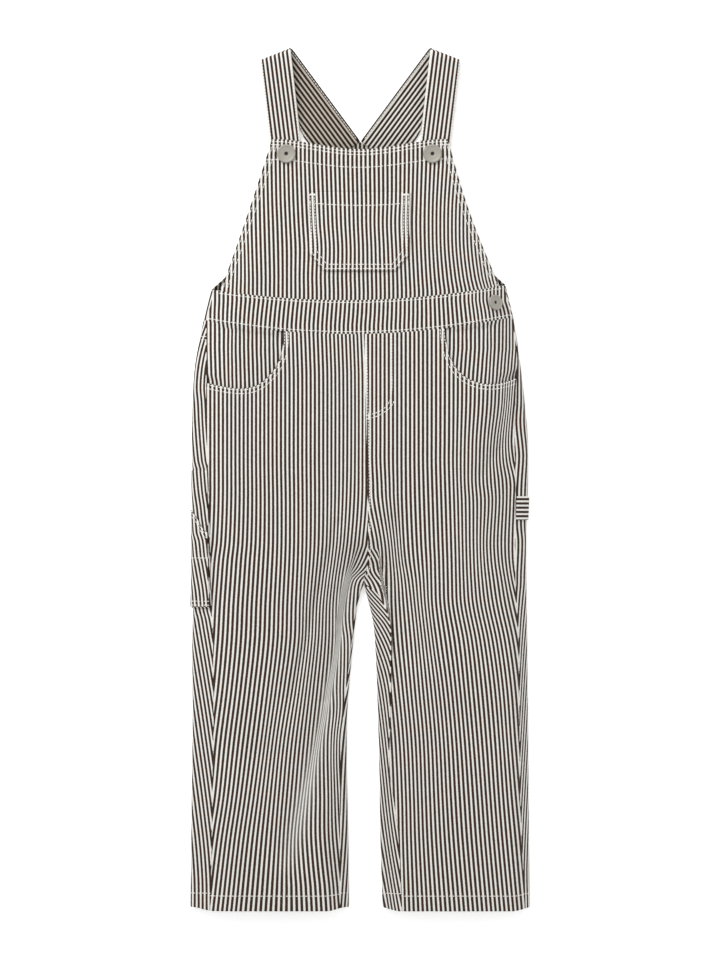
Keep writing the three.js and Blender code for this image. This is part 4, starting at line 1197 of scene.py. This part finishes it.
def frontLegStitches():
    rows = {"left": [], "right": []}
    f = frontStitches
    for half, sign in halves.items():
        for away in f["openingRows"]:
            line = besideLine(smoothLine(hipOpening[half], 90), away * sign)
            seamX = side[half + "Fold"](line[:, 1]) + sign * (side[half + "Seam"](line[:, 1]) + 1.2)
            belowBand = line[:, 1] < sagging(waistBottom, line[:, 0]) - 1.0
            inPanel = (sign * (line[:, 0] - seamX) > 0) & belowBand
            rows[half].append(legRow(half, line[inPanel]))
        outer = side[half + "Fold"](f["hem"]) + sign * (side[half + "Seam"](f["hem"]) + 1.0)
        inner = inside[half + "Fold"](f["hem"]) - sign * (inside[half + "Seam"](f["hem"]) + 1.0)
        x = np.linspace(outer, inner, 80)
        rows[half].append(legRow(half, np.stack([x, levelY(np.full(80, f["hem"]), x)], 1)))
    y = np.linspace(118, -80, 130)
    rows["right"].append(legRow("right", np.stack([middle["seam"](y) + f["centreBeside"], y], 1)))
    rows["right"].append(legRow("right", smoothLine(f["mockFly"], 60)))
    rows["right"].append(legRow("right", smoothLine(f["mockFlyOuter"], 40)))
    for half in rows:
        sewRows("stitches.frontLeg." + half, rows[half])
    sewRows("barTack.mockFly", [legRow("right", np.array(f["tack"]))], tackStitch)


def backLegRow(half, y, fromSeam, end, table=side):
    way = halves[half] if table is side else -halves[half]
    along = np.linspace(alongToSeam(half, y, table) - fromSeam, end, 30)
    foldX = table[half + "Fold"](y) * np.ones(30)
    x, z = roundFold(half, foldX, way, along, np.full(30, y))
    out = unit(np.stack([x - (foldX + way * 5.5), np.zeros(30), z - 4.5], 1))
    return np.stack([x, np.full(30, y), z], 1) + out * stitch["lift"]


def backLegStitches():
    for half, places in frontStitches["hemAt"].items():
        atSide, atInside = (float(levelY(np.array(frontStitches["hem"]), np.array(x))) for x in places)
        rows = [backLegRow(half, atSide, 1, -6.5), backLegRow(half, atInside, 1, -6.5, inside)]
        if half == "left":
            rows.extend(backLegRow(half, y, 0.5, -2.0) for y in (117.6, 115.0))
        sewRows("stitches.hem." + half, rows)


def patchRow(name, start, end):  # across the patch from the seam to its outer edge
    p = sidePatches[name]
    half = p["half"]
    inward = halves[half]
    turn = np.linspace(0, 1, 24)
    y = mix(start, end, smooth(turn))
    along = mix(alongToSeam(half, y) - 1.2, -fold["under"] * 0.35 + 1.2, turn)
    foldX = side[half + "Fold"](y)
    x, z = roundFold(half, foldX, inward, along, y)
    aheadX, aheadZ = roundFold(half, foldX, inward, along + 0.1, y)
    out = unit(np.stack([z - aheadZ, np.zeros(24), aheadX - x], 1))
    out *= np.sign(out[0, 2])
    return np.stack([x, y, z], 1) + out * (p["stackedOn"] + p["thickness"] + stitch["lift"])


def sidePocketStitches():
    top = sidePatches["rulerPocket"]["top"]
    rows = [patchRow("rulerPocket", top[0] - inset, top[1] - inset) for inset in (1.4, 4.6)]
    rows.extend(patchRow("rulerPocket", y, y) for y in (-64.0, -99.4, -102.6))
    sewRows("stitches.sidePockets", rows)


def waistbandStitches():
    rows = []
    for band, edge, away in ((waistTop, 115.0, -1.9), (waistBottom, 123.0, 1.9)):
        x = np.linspace(-edge, edge, 160)
        rows.append(liftedRow(onCloth, x, sagging(band, x) + away))
    sewRows("stitches.waistband", rows)


bibStitches = {"topRows": (2.0, 4.6), "facing": (15.4, 17.0), "sideRows": (1.9, 5.0)}


def bibEdge(rise, inset):  # a place on the bib inset from its slanted side, for each rise
    halfWidth = mix(bib["bottomHalf"], bib["topHalf"], rise) + bib["sideBow"] * np.sin(math.pi * rise)
    return 1 - inset * 1.06 / halfWidth


def bibRow(across, rise):
    return liftedRow(bibPoint, across, rise, 0.003)


def bibPanelStitches():
    b = bibStitches
    rows = []
    height = bib["top"] - waistTop["mid"] - 4
    for down in b["topRows"]:
        across = np.linspace(-0.98, 0.98, 110)
        rows.append(bibRow(across, np.full(110, 1 - down / height)))
    across = np.linspace(-0.985, 0.985, 110)
    rows.append(bibRow(across, 1 - mix(b["facing"][0], b["facing"][1], across ** 2) / height))
    for inset in b["sideRows"]:
        rise = np.linspace(0.015, 0.985, 90)
        rows.append(bibRow(-bibEdge(rise, inset), rise))
        rows.append(bibRow(bibEdge(rise, inset), rise))
    sewRows("stitches.bib", rows)


def onBibPocket(x, y):
    across = (x - bibPocket["left"]) / (bibPocket["right"] - bibPocket["left"])
    return onBib(x, y) + np.array([0.0, 0.0, 1.0]) * pocketLift(across, y)


def bibPocketStitches():
    p = bibPocket
    rows = []
    for inset in (1.4, 4.9):
        left = p["left"] + inset
        right = p["right"] - inset
        corner = inset * 0.55
        line = [(left, p["top"] - 2), (left + 1.2, (p["top"] + p["cornerY"]) / 2),
                (left + 1.9, p["cornerY"] + corner),
                (-p["cornerX"] + corner, p["bottom"] + inset), (0, p["bottom"] + inset),
                (p["cornerX"] - corner - 0.8, p["bottom"] + inset), (right - 1.2, p["cornerY"] + corner),
                (right - 0.7, (p["top"] + p["cornerY"]) / 2), (right, p["top"] - 2)]
        points = []
        for a, b in zip(line[:-1], line[1:]):
            a, b = np.array(a), np.array(b)
            points.extend(mix(a, b, t) for t in np.linspace(0, 1, 16)[:-1])
        points.append(np.array(line[-1]))
        points = np.array(points)
        rows.append(liftedRow(onBibPocket, points[:, 0], points[:, 1]))
    x = np.linspace(p["left"] + 1.5, p["right"] - 1.5, 60)
    y = 225.1 + 2.3 * ((x + 0.7) / 42) ** 2
    rows.append(liftedRow(onBibPocket, x, y))
    sewRows("stitches.bibPocket", rows)
    tacks = []
    for x in (p["left"] + 1.6, p["right"] - 1.6):
        xs = np.array([x, x + (4.2 if x < 0 else -4.2)])
        tacks.append(liftedRow(onBibPocket, xs, np.full(2, p["top"] - 1.6)))
    sewRows("barTack.bibPocket", tacks, tackStitch)


def strapRow(mirror, across, lengths):
    along = slanted(lengths, across)
    here = strapPoint(mirror, along, np.full(len(lengths), across))
    ahead = strapPoint(mirror, along + 0.05, np.full(len(lengths), across)) - here
    beside = strapPoint(mirror, along, np.full(len(lengths), across + 0.004)) - here
    normal = unit(np.cross(ahead, beside))
    return here, normal * np.sign(normal[-1, 2])


def strapStitches(mirror):
    rows = []
    for across in (-0.9, 0.89):
        for start, end, facing in ((-96, 12, -1), (-12, 97, 1)):
            lengths = np.linspace(start, end, 110)
            here, normal = strapRow(mirror, across, lengths)
            rows.append(here + normal * facing * (cloth["strap"] / 2 + stitch["lift"]))
    sewRows("stitches.strap." + ("left" if mirror > 0 else "right"), rows)


print("stitches")
frontLegStitches()
backLegStitches()
sidePocketStitches()
waistbandStitches()
bibPanelStitches()
bibPocketStitches()
strapStitches(1)
strapStitches(-1)

print("stage")
view = {"distance": 8.0, "frameHeight": 0.7872, "level": 0.012}
floorMesh = bpy.data.meshes.new("floor")
corners = [(x, y, -0.0003) for x, y in ((-4, -4), (4, -4), (4, 4), (-4, 4))]
floorMesh.from_pydata(corners, [], [(0, 1, 2, 3)])
floor = bpy.data.objects.new("floor", floorMesh)
bpy.context.scene.collection.objects.link(floor)
floorFinish, floorTree, floorShader = nodeTree("paleFloor")
fillInputs(floorTree, floorShader, {
    "Base Color": (0.93, 0.93, 0.93, 1), "Roughness": 0.95, "Specular IOR Level": 0.1,
    "Emission Color": (1, 1, 1, 1), "Emission Strength": 0.4,
})
floor.data.materials.append(floorFinish)

world = bpy.data.worlds.new("studio")
world.use_nodes = True
world.node_tree.nodes["Background"].inputs["Color"].default_value = (1, 1, 1, 1)
world.node_tree.nodes["Background"].inputs["Strength"].default_value = 0.72
bpy.context.scene.world = world


def softLight(name, place, size, power):
    data = bpy.data.lights.new(name, "AREA")
    data.shape = "SQUARE"
    data.size = size
    data.energy = power
    lamp = bpy.data.objects.new(name, data)
    lamp.location = place
    lamp.rotation_euler = (-Vector(place)).to_track_quat("-Z", "Y").to_euler()
    bpy.context.scene.collection.objects.link(lamp)


softLight("keyLight", (-0.8, 1.5, 1.5), 1.2, 34)
softLight("fillLight", (1.5, -0.6, 1.9), 1.6, 6)

cameraData = bpy.data.cameras.new("camera")
cameraData.lens = 36 * view["distance"] / view["frameHeight"]
cameraData.clip_end = 20
camera = bpy.data.objects.new("camera", cameraData)
camera.location = (0, 0, view["distance"] + view["level"])
bpy.context.scene.collection.objects.link(camera)
bpy.context.scene.camera = camera
bpy.context.scene.view_settings.view_transform = "Standard"

print("done")
